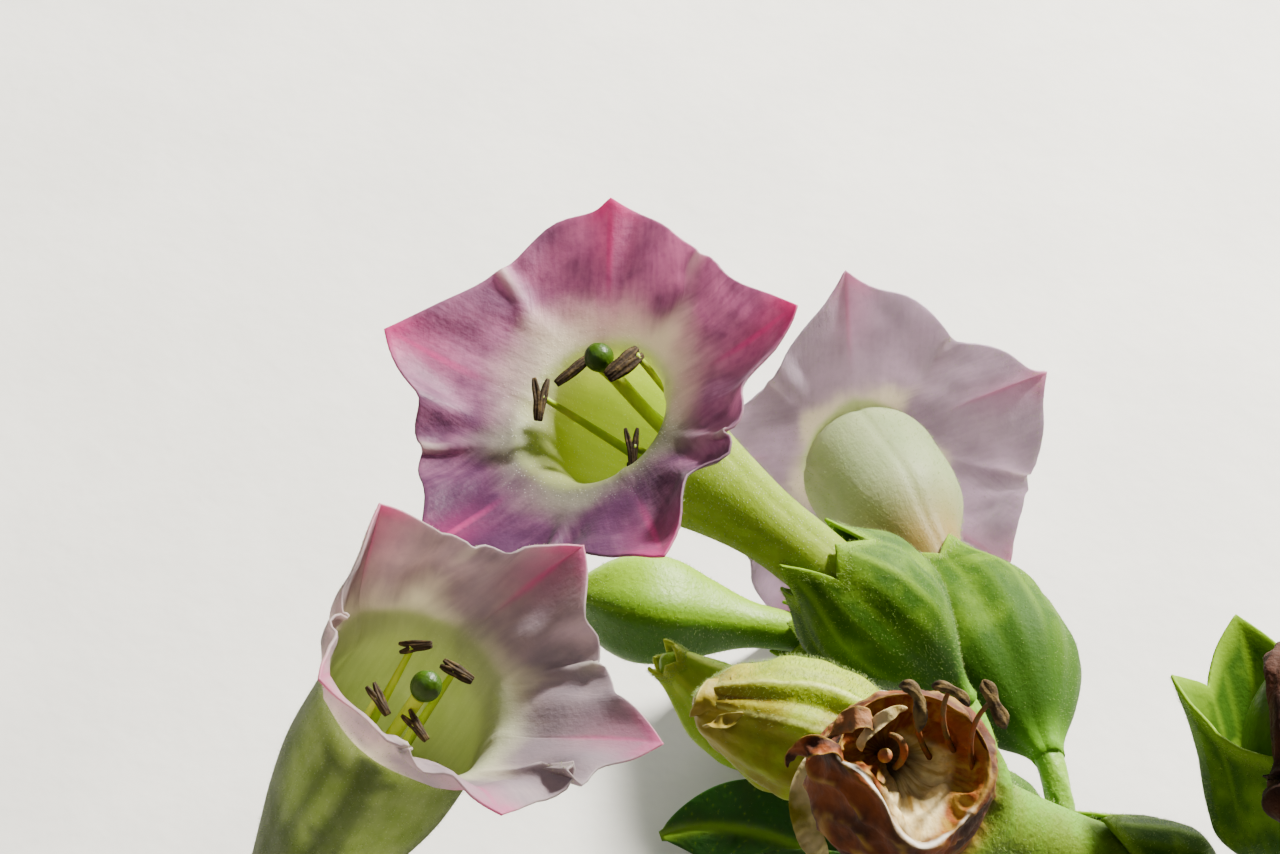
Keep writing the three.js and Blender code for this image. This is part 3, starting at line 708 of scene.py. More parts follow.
def outline_reach(bloom, lobe):
    """The straight chord between two tips, in polar form, plus a sine-squared bulge on each side
    of the notch and a little drawn-out point at each tip."""
    reaches = np.array(bloom["reaches"], float)
    tip = np.floor(lobe).astype(int)
    share = lobe - tip
    a, b = reaches[tip % LOBES], reaches[(tip + 1) % LOBES]
    chord = (a * b * math.sin(LOBE_STEP)
             / (a * np.sin(LOBE_STEP * share) + b * np.sin(LOBE_STEP * (1 - share))))
    bulge = np.array(bloom["bulges"])[(2 * tip + (share > 0.5)) % (2 * LOBES)]
    point = 0.6 * np.exp(-np.minimum(share, 1 - share) / 0.055)
    return chord + bulge * np.sin(2 * math.pi * share) ** 2 + point


def corolla_rings(bloom, rows=126, per_lobe=38):
    """The tube's rings along the centre line and the limb's rings between mouth and outline,
    joined by one smooth curve along each column. A column's lobe count crowds towards ribs and
    notches by a sine. On the limb the surface then moves along its normal: an exponential keel on
    each rib, a plait of bells that winds along each notch and a fading cosine that puckers it, a
    sine-squared puff between, and a random swell. A groove, a bell, runs down the tube's ribs."""
    even = np.arange(LOBES * per_lobe) / per_lobe
    lobe = even - 0.055 * np.sin(4 * math.pi * even)
    angle = math.radians(bloom["roll"]) + LOBE_STEP * lobe
    t = np.array(TUBE_STEPS)
    tube = rings_at(bloom["line"].at(t), facing_at(bloom, t), angle,
                    tube_radius(bloom, t)[:, None])
    q = np.array(LIMB_STEPS)[:, None]
    off_rib = np.abs(lobe - np.round(lobe))
    notch = np.array(bloom["notches"])[np.floor(lobe).astype(int) % LOBES]
    fold = np.array(bloom["folds"])[np.floor(lobe).astype(int) % LOBES]
    at_notch = bell(0.5 - off_rib, 0.13)
    reach = outline_reach(bloom, lobe) - notch * bell(0.5 - off_rib, 0.07)
    radius = mix(bloom["mouth_radius"], reach, q)
    rise = (between_tips(bloom["rises"], lobe) * q * q + fold * at_notch * q ** 3
            + bloom["pleat"] * np.cos(2 * math.pi * lobe) * q
            + between_tips(bloom["recurves"], lobe) * 4 * q * q * (1 - q * q))
    mouth = bloom["line"].at(1.0)
    facing = unit(np.array(bloom["facing"], float))
    depth = np.array(bloom["limb_centre"], float) - mouth
    centre = mouth + depth * q ** bloom["cup_curve"]
    limb = rings_at(centre, np.repeat(facing[None], len(q), 0), angle, radius, rise)
    stations = np.concatenate([tube, limb])
    steps = np.linalg.norm(np.diff(stations, axis=0), axis=2).mean(1)
    arc = np.concatenate([[0], np.cumsum(steps)])
    run = np.concatenate([t, 1 + q[:, 0]])
    at = np.linspace(0, arc[-1], rows)
    rings = through(stations, arc, at)
    run = np.interp(at, arc, run)[:, None]
    wide = np.interp(at, arc, np.concatenate([tube_radius(bloom, t), radius.mean(1)]))[:, None]
    rib = wide * LOBE_STEP * off_rib
    seam = wide * LOBE_STEP * (lobe - np.floor(lobe) - 0.5)
    on_limb = np.clip(run - 1, 0, 1)
    keel = bloom["keel"] * (np.exp(-rib / KEEL_WIDTH) - 1) * smooth(0.08, 0.8, on_limb)
    side = np.array(bloom["sides"])[np.floor(lobe).astype(int) % LOBES]
    winding = seam * side + 0.7 * ripple(rings, bloom["seed"] + 2, 7.0)
    bells = sum(height * bell(winding - place, width) for height, place, width in PLAIT)
    plait = bells * smooth(0.15, 0.7, on_limb)
    puff = 0.35 * np.sin(2 * math.pi * off_rib) ** 2 * smooth(0.25, 0.9, on_limb)
    pucker = 0.1 * np.cos(winding * 4.6) * np.exp(-np.abs(seam) / 2.2) * smooth(0.5, 1, on_limb)
    swell = (0.4 * ripple(rings, bloom["seed"], 8.0) * smooth(0.1, 0.7, on_limb)
             + 0.08 * ripple(rings, bloom["seed"] + 1, 3.0) * smooth(0.05, 0.5, on_limb))
    swell = swell * (1 - 0.7 * bell(rib, KEEL_WIDTH))
    groove = 0.1 * bell(rib, 0.5) * (1 - smooth(0.0, 0.3, on_limb)) * smooth(0.2, 0.5, run)
    rings = rings - outward(rings) * (keel + plait + puff + pucker + swell + groove)[..., None]
    # The tone deepens the lower lobes: partly their own colour, partly painted shade
    tone = between_tips(bloom["tones"], lobe)
    return rings, {"reach": run, "rib": rib, "seam": np.abs(winding), "tone": tone}


def calyx_rings(line, urn, rows=50, per_tooth=26):
    """An urn on the centre line. It starts as a funnel round the stalk, grows from foot to belly
    by the place called full, and draws in to the neck between the two places called shut, all by
    smooth steps. Its rim is drawn out in five unequal teeth, each a power of the share of the way
    from a notch, itself raised by a web, to the tip, and past the rim it flares. Each tooth has a
    raised rib with a lower one on each side, and the seams between teeth are sunk."""
    lobe = np.arange(LOBES * per_tooth) / per_tooth
    angle = urn["roll"] + LOBE_STEP * lobe
    off_tip = np.abs(lobe - np.round(lobe))
    tip = np.array(urn["teeth"])[np.round(lobe).astype(int) % LOBES]
    web = np.array(urn.get("webs", (0,) * LOBES))[np.floor(lobe).astype(int) % LOBES]
    tooth = mix(web, tip, (1 - 2 * off_tip) ** 0.8)
    share = np.linspace(0, 1, rows)[:, None] ** 0.8
    length = line.length()
    start = -CALYX_FOOT / length
    t = start + share * (urn["rim"] - start) + share ** 3 * tooth
    swell = smooth(-0.12 * urn["rim"], urn["full"], t)
    close = smooth(*urn["shut"], t)
    radius = mix(urn["foot"], urn["belly"], swell) + (urn["neck"] - urn["belly"]) * close
    radius = radius * (0.74 + 0.26 * smooth(start, 0.08, t))
    rib = radius * LOBE_STEP * off_tip
    seam = radius * LOBE_STEP * (0.5 - off_tip)
    side = radius * LOBE_STEP * np.abs(off_tip - 0.26)
    relief = (0.14 * bell(rib, 0.7) + 0.05 * bell(side, 0.6)
              - 0.2 * bell(seam, 1.1) * (1 - close) * smooth(0.1, 0.5, share))
    radius = radius * (1 + 0.03 * np.cos(2 * math.pi * lobe)) + relief
    radius = radius + np.maximum(0, t - urn["rim"]) * urn["flare"]
    first, second = across(line.direction(t))
    rings = (line.at(t) + first * (radius * np.cos(angle))[..., None]
             + second * (radius * np.sin(angle))[..., None])
    margin = (1 - share) * (urn["rim"] + tooth) * length
    return rings, {"rib": rib, "side": side, "seam": seam, "margin": margin,
                   "reach": np.broadcast_to(share, rib.shape)}


def limb_rings(line, knots, radii, rows, columns, relief=None):
    """Rings square to a centre line, their radius a smooth curve through the given ones, times
    one plus a relief worked out from the angle and the share of the way along."""
    t = np.linspace(knots[0], knots[-1], rows)
    angle = np.arange(columns) * 2 * math.pi / columns
    radius = through(radii, knots, t)[:, None] * np.ones(columns)
    if relief is not None:
        radius = radius * (1 + relief(angle, t[:, None]))
    return rings_at(line.at(t), line.direction(t), angle, radius), t, angle


def scatter(rings, count, rng, weight=1.0):
    """Roots spread evenly over a grid of rings: cells drawn by area times weight, then an even
    draw inside each. Gives places, outward normals and the way along."""
    a, b = rings[:-1], rings[1:]
    a_next, b_next = np.roll(a, -1, 1), np.roll(b, -1, 1)
    face = np.cross(a_next - a, b - a)
    area = np.linalg.norm(face, axis=-1) * weight
    cell = rng.choice(area.size, count, p=(area / area.sum()).ravel())
    r, c = np.unravel_index(cell, area.shape)
    u, v = rng.random((2, count, 1))
    place = mix(mix(a[r, c], a_next[r, c], u), mix(b[r, c], b_next[r, c], u), v)
    return place, unit(face)[r, c], unit(b - a)[r, c]


def hair_skin(roots, ways, lengths, radius, rng, bead=0.0):
    """Three-sided hairs: a foot sunk in the skin, a knee just past half way that leans a random
    way, and a point, or a small bead where one is asked for."""
    count = len(roots)
    lengths = np.broadcast_to(lengths, count)[:, None]
    side = unit(np.cross(ways, rng.normal(size=(count, 3))))
    other = np.cross(ways, side)
    turn = np.arange(3) * 2 * math.pi / 3
    spokes = side[:, None] * np.cos(turn)[:, None] + other[:, None] * np.sin(turn)[:, None]
    lean = rng.normal(size=(count, 3)) * lengths * 0.13
    knee = roots + ways * lengths * 0.55 + lean * 0.35
    tip = roots + ways * lengths + lean
    rings = [roots[:, None] - ways[:, None] * 0.06 + spokes * radius,
             knee[:, None] + spokes * radius * 0.66]
    if bead:
        on = unit(tip - knee)[:, None]
        rings += [tip[:, None] - on * bead * 1.6 + spokes * radius * 0.5,
                  tip[:, None] - on * bead * 0.4 + spokes * bead]
    rings.append(tip[:, None])
    points = np.concatenate(rings, axis=1)
    levels = len(rings) - 1
    quads = [(3 * k + i, 3 * k + (i + 1) % 3, 3 * k + 3 + (i + 1) % 3, 3 * k + 3 + i)
             for k in range(levels - 1) for i in range(3)]
    last = 3 * (levels - 1)
    tris = [(2, 1, 0)] + [(last + i, last + (i + 1) % 3, last + 3) for i in range(3)]
    start = np.arange(count)[:, None, None] * points.shape[1]
    faces = [(np.array(quads) + start).reshape(-1, 4), (np.array(tris) + start).reshape(-1, 3)]
    fields = {"along": np.tile(np.repeat(np.linspace(0, 1, levels + 1), [3] * levels + [1]), count)}
    return points.reshape(-1, 3), faces, fields


def hair_coat(rings, count, seed, length, weight=1.0, lean=0.25, bead_share=0.25):
    """Short hairs all over a grid of rings, some with a bead, leaning a little along it."""
    rng = np.random.default_rng(seed)
    radius = sizes_mm()["hair_radius"]
    place, normal, along = scatter(rings, count, rng, weight)
    way = unit(normal + along * lean + rng.normal(size=(count, 3)) * 0.22)
    lengths = length * rng.uniform(0.45, 1.0, count)
    beaded = int(count * bead_share)
    return join_skins([
        hair_skin(place[:beaded], way[:beaded], lengths[:beaded] * 0.8, radius, rng, radius * 2.1),
        hair_skin(place[beaded:], way[beaded:], lengths[beaded:], radius, rng)])


def petal_finish(name, shades, vivid, green_to, cream_to, green_out_to, neck, painted_light):
    """Petal: lobes of a light and a deep colour by their tone, which is partly the lobes' own colour
    and partly painted shade, with a mottle and streaks that fan out along the ribs; vivid ribs and
    tips; a cream zone that runs out along the notches, and a green throat, both darkened with painted
    shade on the lobes taken to be in shadow; pale seams; a green tube, tan at its neck; and small
    painted glints round the throat."""
    c = colours()
    f = Finish(name, Roughness=0.5, Specular_IOR_Level=0.3, Sheen_Weight=0.08,
               Sheen_Roughness=0.4)
    reach, rib, seam, tone, inner = f.fields("reach", "rib", "seam", "tone", "inner")
    light, deep, tube, throat = (getattr(c, shade) for shade in shades)
    limb = f.sum("SUBTRACT", reach, 1.0, clamp=True)
    patches = f.noise(190, 2) - 0.5
    silk = f.noise(430) - 0.5
    fan = f.vector(rib * 0.8, reach * 1.1, patches * 1.6)
    streaks = f.noise(2.4, 4, fan) - 0.5
    depth = tone + silk * 0.6 + patches * 1.05 + streaks * 0.45
    colour = f.blend(f.step(depth, -0.25, 1.25), light, deep)
    halo = f.ridge(rib, 1.6) * f.step(limb, 0.3, 0.95) * 0.5
    lines = f.ridge(rib, 0.28) * f.step(limb, 0.2, 0.7) * 0.85
    tips = f.ridge(rib, 1.7) * f.step(limb, 0.8, 1.0)
    colour = f.blend(f.most(lines, tips, halo) * vivid, colour, c.rib_pink)
    colour = f.blend(f.step(f.noise(1500), 0.4, 0.75) * 0.2, colour, deep)

    spread = (limb - f.ridge(seam, 1.5) * 0.24 + f.ridge(rib, 1.2) * 0.1 + patches * 0.5
              + streaks * 0.12 + (tone - 0.35) * 0.16)
    pale = 1 - f.step(spread, -0.06, cream_to)
    back = f.blend(pale * 0.45, colour, c.cream)
    # Painted shade: shadow marks the lobes taken to be in shadow by their tone, and there the cream
    # zone, the green throat and its lip take darker copies of their colours
    shadow = f.step(tone, 0.5, 0.8)
    colour = f.blend(pale, colour, f.blend(shadow * painted_light, c.cream, SHADED_CREAM))
    whites = f.ridge(seam, 0.5) * f.step(limb, 0.6, 1.0) * 0.4
    lip = f.ridge(inner - 0.5, 0.15) * 0.12
    colour = f.blend(f.most(whites, lip), colour, c.cream)

    outer_tube = f.blend(f.step(streaks * 0.4 + silk, -0.6, 0.8) * 0.35, tube, throat)
    outer_tube = f.blend(f.ridge(reach - 0.6, 0.1) * neck, outer_tube, c.wilt_tip)
    grown = reach - 1.0 + patches * 0.14
    green_out = 1 - f.step(grown, 0.0, green_out_to)
    outside = f.blend(green_out, f.blend(0.1, back, c.cream), outer_tube)
    green_in = 1 - f.step(grown - shadow * 0.06, -0.15 - green_to / 2, green_to)
    green = f.blend(f.step(streaks, -0.3, 0.4) * 0.2, throat, tube)
    # Painted shade: the throat's lip dark green on the lobes in shadow
    green = f.blend(shadow * f.step(reach, 0.8, 1.02) * painted_light * 0.8, green, SHADED_GREEN)
    colour = f.blend(f.step(inner, 0.2, 0.8), outside, f.blend(green_in, colour, green))

    # Painted glints: small near-white dots round the throat, as strong as the bloom's painted shade
    # is
    near = 1 - f.step(limb, 0.02, 0.35)
    dots = f.spots(3200, 0.1, 0.26) * near * 0.35 * painted_light
    colour = f.blend(dots, colour, PAINTED_GLINT)
    relief = streaks * 0.5 + f.noise(2300) * 0.6 + dots * 0.8
    return f.coat(colour, relief, depth=0.08, thin=0.6)


def calyx_finish(name, base, light, stalk):
    """Calyx: green with paler ribs, seams, margins and windows, and the stalk's green at the
    foot."""
    f = Finish(name, Roughness=0.65, Specular_IOR_Level=0.15, Sheen_Weight=0.05,
               Sheen_Roughness=0.3)
    rib, side, seam, margin, reach = f.fields("rib", "side", "seam", "margin", "reach")
    lines = f.most(f.ridge(rib, 0.4) * 0.5, f.ridge(side, 0.4) * 0.2, f.ridge(seam, 0.4) * 0.3)
    edge = 1 - f.step(margin, 0.05, 1.5)
    window = f.step(f.noise(260), 0.42, 0.7) * f.step(reach, 0.2, 0.8)
    share = f.most(lines * f.step(reach, 0.25, 0.95), edge * 0.7, window * 0.4)
    shade = f.blend(f.step(reach, 0.0, 0.2), stalk, f.blend(share, base, light))
    return f.coat(shade, f.noise(2600), depth=0.05, thin=0.25)


def stem_finish(name, base, light):
    """Stalk: fresh green with faint pale dots and a slow mottle."""
    f = Finish(name, Roughness=0.5, Specular_IOR_Level=0.4, Sheen_Weight=0.1,
               Sheen_Roughness=0.4)
    mottle = f.step(f.noise(320), 0.35, 0.7) * 0.6
    share = f.most(mottle, f.spots(1300, 0.1, 0.3) * 0.35)
    return f.coat(f.blend(share, base, light), f.noise(1800), depth=0.12, thin=0.1)


def plain_finish(name, base, light, scale=400, depth=0.08, thin=0.0, **constants):
    """One colour turning to another by a slow mottle, with a fine grain."""
    f = Finish(name, **constants)
    share = f.step(f.noise(scale), 0.35, 0.68)
    return f.coat(f.blend(share, base, light), f.noise(scale * 6, 2), depth=depth, thin=thin)


def hair_finish(name):
    """Hair: green at the root, then clear and pale, with a bright gloss."""
    f = Finish(name, Roughness=0.25, Specular_IOR_Level=0.6)
    pale = colours().hair
    green = f.blend(0.75, pale, HAIR_ROOT)
    (along,) = f.fields("along")
    return f.coat(f.blend(f.step(along, 0.2, 0.95), green, pale), thin=0.5)


def anther_finish():
    """Anther: dark and empty, paler along the lips of its slit and where its back is worn."""
    c = colours()
    f = Finish("anther", Roughness=0.75, Specular_IOR_Level=0.2)
    (slit,) = f.fields("slit")
    shade = f.blend(f.step(f.noise(1500), 0.45, 0.8), c.anther, c.anther_light)
    shade = f.blend(f.ridge(slit - 0.3, 0.16) * 0.3, shade, c.anther_light)
    shade = f.blend(f.step(slit, 0.4, 0.75) * 0.7, shade, c.anther)
    return f.coat(shade, f.noise(4000, 2), depth=0.06)


def pistil_finish():
    """Pistil: a pale green style with a dark, moist ball on it."""
    c = colours()
    f = Finish("stigma", Roughness=0.4, Specular_IOR_Level=0.2)
    (ball,) = f.fields("ball")
    moist = f.blend(f.step(f.noise(900, 2), 0.45, 0.8), c.stigma, c.calyx)
    style = f.blend(0.5, c.bud, c.filament)
    shade = f.blend(f.step(ball, 0.3, 0.9), style, moist)
    return f.coat(shade, f.noise(2500, 2), depth=0.08)


def bud_finish():
    """Bud: painted light on top and painted shade below, with paler folds."""
    c = colours()
    f = Finish("bud_green", Roughness=0.45, Specular_IOR_Level=0.25, Sheen_Weight=0.05)
    top, pleat = f.fields("top", "pleat")
    share = f.step(top, -0.5, 0.75) + (f.noise(240) - 0.5) * 0.35
    shade = f.blend(f.ridge(pleat, 0.12) * 0.35, f.blend(share, c.bud_dark, c.bud), c.calyx_light)
    return f.coat(shade, f.noise(2200, 2), depth=0.06, thin=0.15)


def wilting_finish():
    """Wilting petal: olive and green in patches, green on top, tan at the tip, painted shade in
    brown in the creases towards the tip, and pale on their crests."""
    c = colours()
    f = Finish("wilting_petal", Roughness=0.55, Specular_IOR_Level=0.25, Sheen_Weight=0.05)
    along, top, crease, crest = f.fields("along", "top", "crease", "crest")
    tip = f.step(along, 0.72, 1.0)
    patch = f.noise(300)
    shade = f.blend(f.step(patch, 0.35, 0.7) * 0.6, c.wilt, c.tube)
    shade = f.blend(f.step(top, 0.0, 1.0) * 0.6, shade, c.tube)
    shade = f.blend(f.step(tip + (patch - 0.5) * 0.8, 0.5, 1.05) * 0.6, shade, c.wilt_tip)
    # Painted shade: brown in the creases towards the tip
    shade = f.blend(f.ridge(crease, 0.05) * tip * 0.6, shade, c.dry)
    shade = f.blend(f.ridge(crest, 0.04) * 0.35, shade, c.throat)
    return f.coat(shade, f.noise(1500), depth=0.12, thin=0.22)


def pouch_finish():
    """Withered petal: brown with tan crests outside, streaked inside, with a rust patch, a
    bleached one and painted shade, dark, deep in the hollow, a tan rim with a painted highlight, near
    white, along part of it, and a tube that is still green."""
    c = colours()
    f = Finish("dry_petal", Roughness=0.7, Specular_IOR_Level=0.2)
    dry, folds, turn, bowl, within = f.fields("dry", "folds", "turn", "bowl", "within")
    pale, rust, rim, white = f.fields("pale", "rust", "rim", "white")
    patch = f.noise(260)
    brown = f.blend(f.step(patch, 0.35, 0.7), c.dry_dark, c.dry)
    crest = f.step(folds, 0.5, 1.0) * f.step(f.noise(420, 2), 0.45, 0.62)
    brown = f.blend(crest * 0.5, brown, c.wilt_tip)
    streaks = f.noise(2.2, 4, f.vector(turn * 3.0, bowl * 1.6, patch * 0.8))
    olive = f.blend(f.step(streaks, 0.35, 0.7), c.dry, c.wilt_tip)
    shade = f.blend(f.step(within, 0.3, 0.9), brown, olive)
    shade = f.blend(rust * 0.8, shade, f.blend(0.5, c.dry, RUST))
    cream = f.blend(f.step(streaks, 0.4, 0.68), c.dry_pale, c.wilt_tip)
    shade = f.blend(pale, shade, f.blend(0.25, cream, c.dry_pale))
    # Painted shade: dark deep in the hollow
    shade = f.blend(f.step(bowl, 0.82, 0.98) * 0.9, shade, c.dry_dark)
    shade = f.blend(rim * 0.6, shade, c.wilt_tip)
    # Painted highlight: near white along the front of the rim
    shade = f.blend(white * 0.95, shade, PAINTED_RIM_HIGHLIGHT)
    fresh = f.blend(f.step(patch, 0.3, 0.65) * 0.8, c.stalk, c.shaded_tube)
    return f.coat(f.blend(dry, fresh, shade), f.noise(1900), depth=0.13, thin=0.2)


def curl_finish():
    """Dry curl: brown with tan edges, or, where it is pale, cream and olive."""
    c = colours()
    f = Finish("dry_rim", Roughness=0.7, Specular_IOR_Level=0.2)
    edge, pale = f.fields("edge", "pale")
    brown = f.blend(f.step(f.noise(500), 0.4, 0.62), c.dry_dark, c.dry)
    brown = f.blend(f.step(edge, 0.7, 1.0) * 0.6, brown, c.wilt_tip)
    olive = f.blend(f.step(f.noise(300), 0.35, 0.7), c.dry_pale, c.wilt)
    return f.coat(f.blend(pale, brown, olive), f.noise(2200), depth=0.14, thin=0.15)


def bract_finish():
    """Bract: two greens in a mottle, with a pale midrib and fainter veins."""
    c = colours()
    f = Finish("bract_leaf", Roughness=0.42, Specular_IOR_Level=0.4, Sheen_Weight=0.05)
    rib, vein = f.fields("rib", "vein")
    lines = f.most(f.ridge(rib, 0.5) * 0.8, f.ridge(vein, 0.16) * 0.4)
    shade = f.blend(f.step(f.noise(300), 0.35, 0.7), c.leaf, c.calyx)
    return f.coat(f.blend(lines, shade, c.calyx_light), f.noise(1500), depth=0.12, thin=0.25)


class TOBACCO_OT_studio(bpy.types.Operator):
    """Lay a pale floor, hang soft lights and set the camera at the picture's viewing angle."""

    bl_idname = "tobacco.studio"
    bl_label = "Studio"

    def execute(self, context):
        scene = context.scene
        mesh = bpy.data.meshes.new("floor")
        corners = [(x * FLOOR_REACH, y * FLOOR_REACH, 0)
                   for x, y in ((-1, -1), (1, -1), (1, 1), (-1, 1))]
        mesh.from_pydata(corners, [], [(0, 1, 2, 3)])
        floor = bpy.data.objects.new("floor", mesh)
        scene.collection.objects.link(floor)
        pale = colours().floor
        dim = tuple(part * 0.93 for part in pale)
        mesh.materials.append(plain_finish("floor_paper", dim, pale, scale=60, Roughness=0.85))
        camera = bpy.data.objects.new("camera", bpy.data.cameras.new("camera"))
        camera.data.sensor_width = SENSOR_WIDTH
        camera.data.lens = SENSOR_WIDTH * VIEW_DISTANCE / PICTURE_WIDTH
        camera.data.clip_start = 0.02
        place = settle((0.0, 0.0, VIEW_DISTANCE))
        camera.matrix_world = Matrix.Translation(place) @ Matrix(TURN.tolist()).to_4x4()
        scene.collection.objects.link(camera)
        scene.camera = camera
        for name, (spot, width, power, tint) in LIGHTS.items():
            data = bpy.data.lights.new(name, "AREA")
            data.size = width
            data.energy = power
            data.color = tint
            light = bpy.data.objects.new(name, data)
            place = settle(spot)
            place[2] = max(place[2], LOWEST_LIGHT)
            light.location = place
            light.rotation_mode = "QUATERNION"
            way = Vector((settle(LIGHT_TARGET) - place).tolist())
            light.rotation_quaternion = way.to_track_quat("-Z", "Y")
            scene.collection.objects.link(light)
        world = bpy.data.worlds.new("studio")
        world.use_nodes = True
        background = world.node_tree.nodes["Background"]
        background.inputs["Color"].default_value = SKY
        background.inputs["Strength"].default_value = SKY_STRENGTH
        scene.world = world
        return {"FINISHED"}


def limb_skin(limb, rows, columns, seed, root=True, bud=False):
    """A limb with low lengthwise ribs, a start that is cut flat or a root that swells by a bell
    where it leaves its bearer, and a tip that is sunk into what follows or drawn in round, as the
    square root of what is left, like a resting bud."""
    length = limb.line.length()
    start = -1.2 / length if root else 0.0
    end = 1 + (0.2 if bud else 0.8) / length
    t = np.linspace(start, end, rows)
    angle = np.arange(columns) * 2 * math.pi / columns
    radius = limb.radius(np.clip(t, 0, 1))[:, None] * np.ones(columns)
    if root:
        radius = radius * (1 + 0.5 * bell(t * length, 1.9))[:, None]
    if bud:
        radius = radius * np.sqrt(np.clip((end - t) * length / 2.2, 0.0, 1.0))[:, None]
    ribs = 0.035 * np.cos(5 * angle + 3 * t[:, None]) + 0.015 * np.cos(13 * angle + 1.7)
    rings = rings_at(limb.line.at(t), limb.line.direction(t), angle, radius * (1 + ribs))
    return rings + outward(rings) * 0.06 * ripple(rings, seed, 4.0)[..., None]


class TOBACCO_OT_stalks(bpy.types.Operator):
    """Make the cut stem, its branches, the side shoot and every flower stalk."""

    bl_idname = "tobacco.stalks"
    bl_label = "Stem and stalks"

    def execute(self, context):
        c, s = colours(), sizes_mm()
        green = stem_finish("stalk_green", c.stalk, c.calyx_light)
        coats = []
        limbs = (("stem", STEM, False, 600), ("left_branch", LEFT_BRANCH, True, 1400),
                 ("right_branch", RIGHT_BRANCH, True, 1500), ("side_shoot", SIDE_SHOOT, True, 900))
        for number, (name, limb, root, count) in enumerate(limbs):
            rings = limb_skin(limb, 120, 48, 60 + number, root, name == "left_branch")
            add_piece(f"{name}_green", closed_skin(rings), green, (name,))
            coats.append(hair_coat(rings, count, 70 + number, s["hair_length"] * 0.8))
        for number, (name, flower) in enumerate(FLOWERS.items()):
            line = stalk_line(flower["branch"], flower["branch_at"], flower["line"])
            limb = Limb(line.points, s["stalk_radius"], s["stalk_radius"] * 1.15)
            rings = limb_skin(limb, 70, 32, 80 + number)
            add_piece(f"{name}_stalk_green", closed_skin(rings), green,
                      (f"{name}_stalk",))
            coats.append(hair_coat(rings, 550, 90 + number, s["hair_length"] * 0.7))
        add_piece("stalk_hairs", join_skins(coats), hair_finish("stalk_hair"))
        return {"FINISHED"}


class TOBACCO_OT_petals(bpy.types.Operator):
    """Make the corollas of the three open blooms and the fine hairs on them."""

    bl_idname = "tobacco.petals"
    bl_label = "Open petals"

    def execute(self, context):
        s = sizes_mm()
        hair = hair_finish("petal_hair")
        for name, bloom in BLOOMS.items():
            finish = petal_finish(f"{name}_petal", bloom["colours"], **bloom["finish"])
            rings, fields = corolla_rings(bloom)
            add_piece(f"{name}_petals", cup_skin(rings, s["petal_wall"], 2, **fields), finish,
                      (f"{name}_corolla",))
            limb_from = int(np.searchsorted(fields["reach"][:, 0], 1.25))
            length, seed = s["hair_length"], bloom["seed"]
            coats = [hair_coat(rings[:limb_from], 3800, seed + 2, length * 0.6, bead_share=0.2),
                     hair_coat(rings[limb_from - 1:], 1500, seed + 3, length * 0.4),
                     hair_coat(rings[-3:], 600, seed + 4, length * 0.5, lean=1.8)]
            add_piece(f"{name}_petal_hairs", join_skins(coats), hair)
        return {"FINISHED"}


def anther_skin(place, down, length, girth, spread, hung):
    """An empty anther: two sacs, joined below and spread in a V above, that hang from a place a
    share of their length below their top. Each is a ring profile that swells as a sine to a
    power, with a slit down the side that faces the viewer, where the radius is cut by a bell."""
    down = unit(np.array(down, float))
    towards = unit(np.array((0.15, 0.1, 1.0)) - down * down[2])
    side = np.cross(down, towards)
    t = np.linspace(0.0, 1.0, 22)
    angle = np.arange(24) * 2 * math.pi / 24
    skins = []
    for way in (-1, 1):
        apart = 0.17 * girth + spread * np.clip(1 - t / 0.6, 0, 1) ** 1.1
        centre = (place + down * ((t - hung) * length)[:, None]
                  + side * (way * apart)[:, None]
                  - towards * (0.25 * (1 - t) ** 2)[:, None])
        ahead = unit(np.gradient(centre, axis=0))
        first = unit(towards - ahead * (ahead @ towards)[:, None])
        second = np.cross(ahead, first)
        slit = bell(np.angle(np.exp(1j * (angle - 0.25 * way))), 0.42)
        radius = 0.36 * girth * np.sin(math.pi * (0.05 + 0.9 * t[:, None])) ** 0.4
        radius = radius * (1 - 0.4 * slit) * (1 + 0.09 * np.cos(angle * 3 + 9 * t[:, None]))
        rings = (centre[:, None] + first[:, None] * (radius * np.cos(angle))[..., None]
                 + second[:, None] * (radius * np.sin(angle))[..., None])
        skins.append(closed_skin(rings, slit=slit))
    return join_skins(skins)


# Where along the tube a stamen is rooted, where it leaves the wall and where a short one ends; how
# far off the middle that end is; and the petal wall and the thread's radius of the solids
STAMEN_AT = (0.34, 0.62, 0.84)
SHORT_STAMEN_OFF = 3.2
SOLID_WALL = 0.45
SOLID_THREAD = 0.3


def stamen_line(bloom, number):
    """From the tube's wall a third of the way up, along it, and free to the anther's place, or to
    a place of its own where the anther is out of sight."""
    t = np.array(STAMEN_AT)
    angle = math.radians(bloom["roll"]) + LOBE_STEP * (number + 0.5)
    offset = tube_radius(bloom, t[0]) - SOLID_WALL - CLEARANCE - SOLID_THREAD
    radius = np.array((offset, offset, SHORT_STAMEN_OFF))[:, None]
    root, leave, short = rings_at(bloom["line"].at(t), facing_at(bloom, t), angle, radius)[:, 0]
    tip = bloom["anthers"][number]
    tip = short if tip is None else np.array(tip, float)
    return CentreLine([root, leave, mix(leave, tip, 0.45), tip])


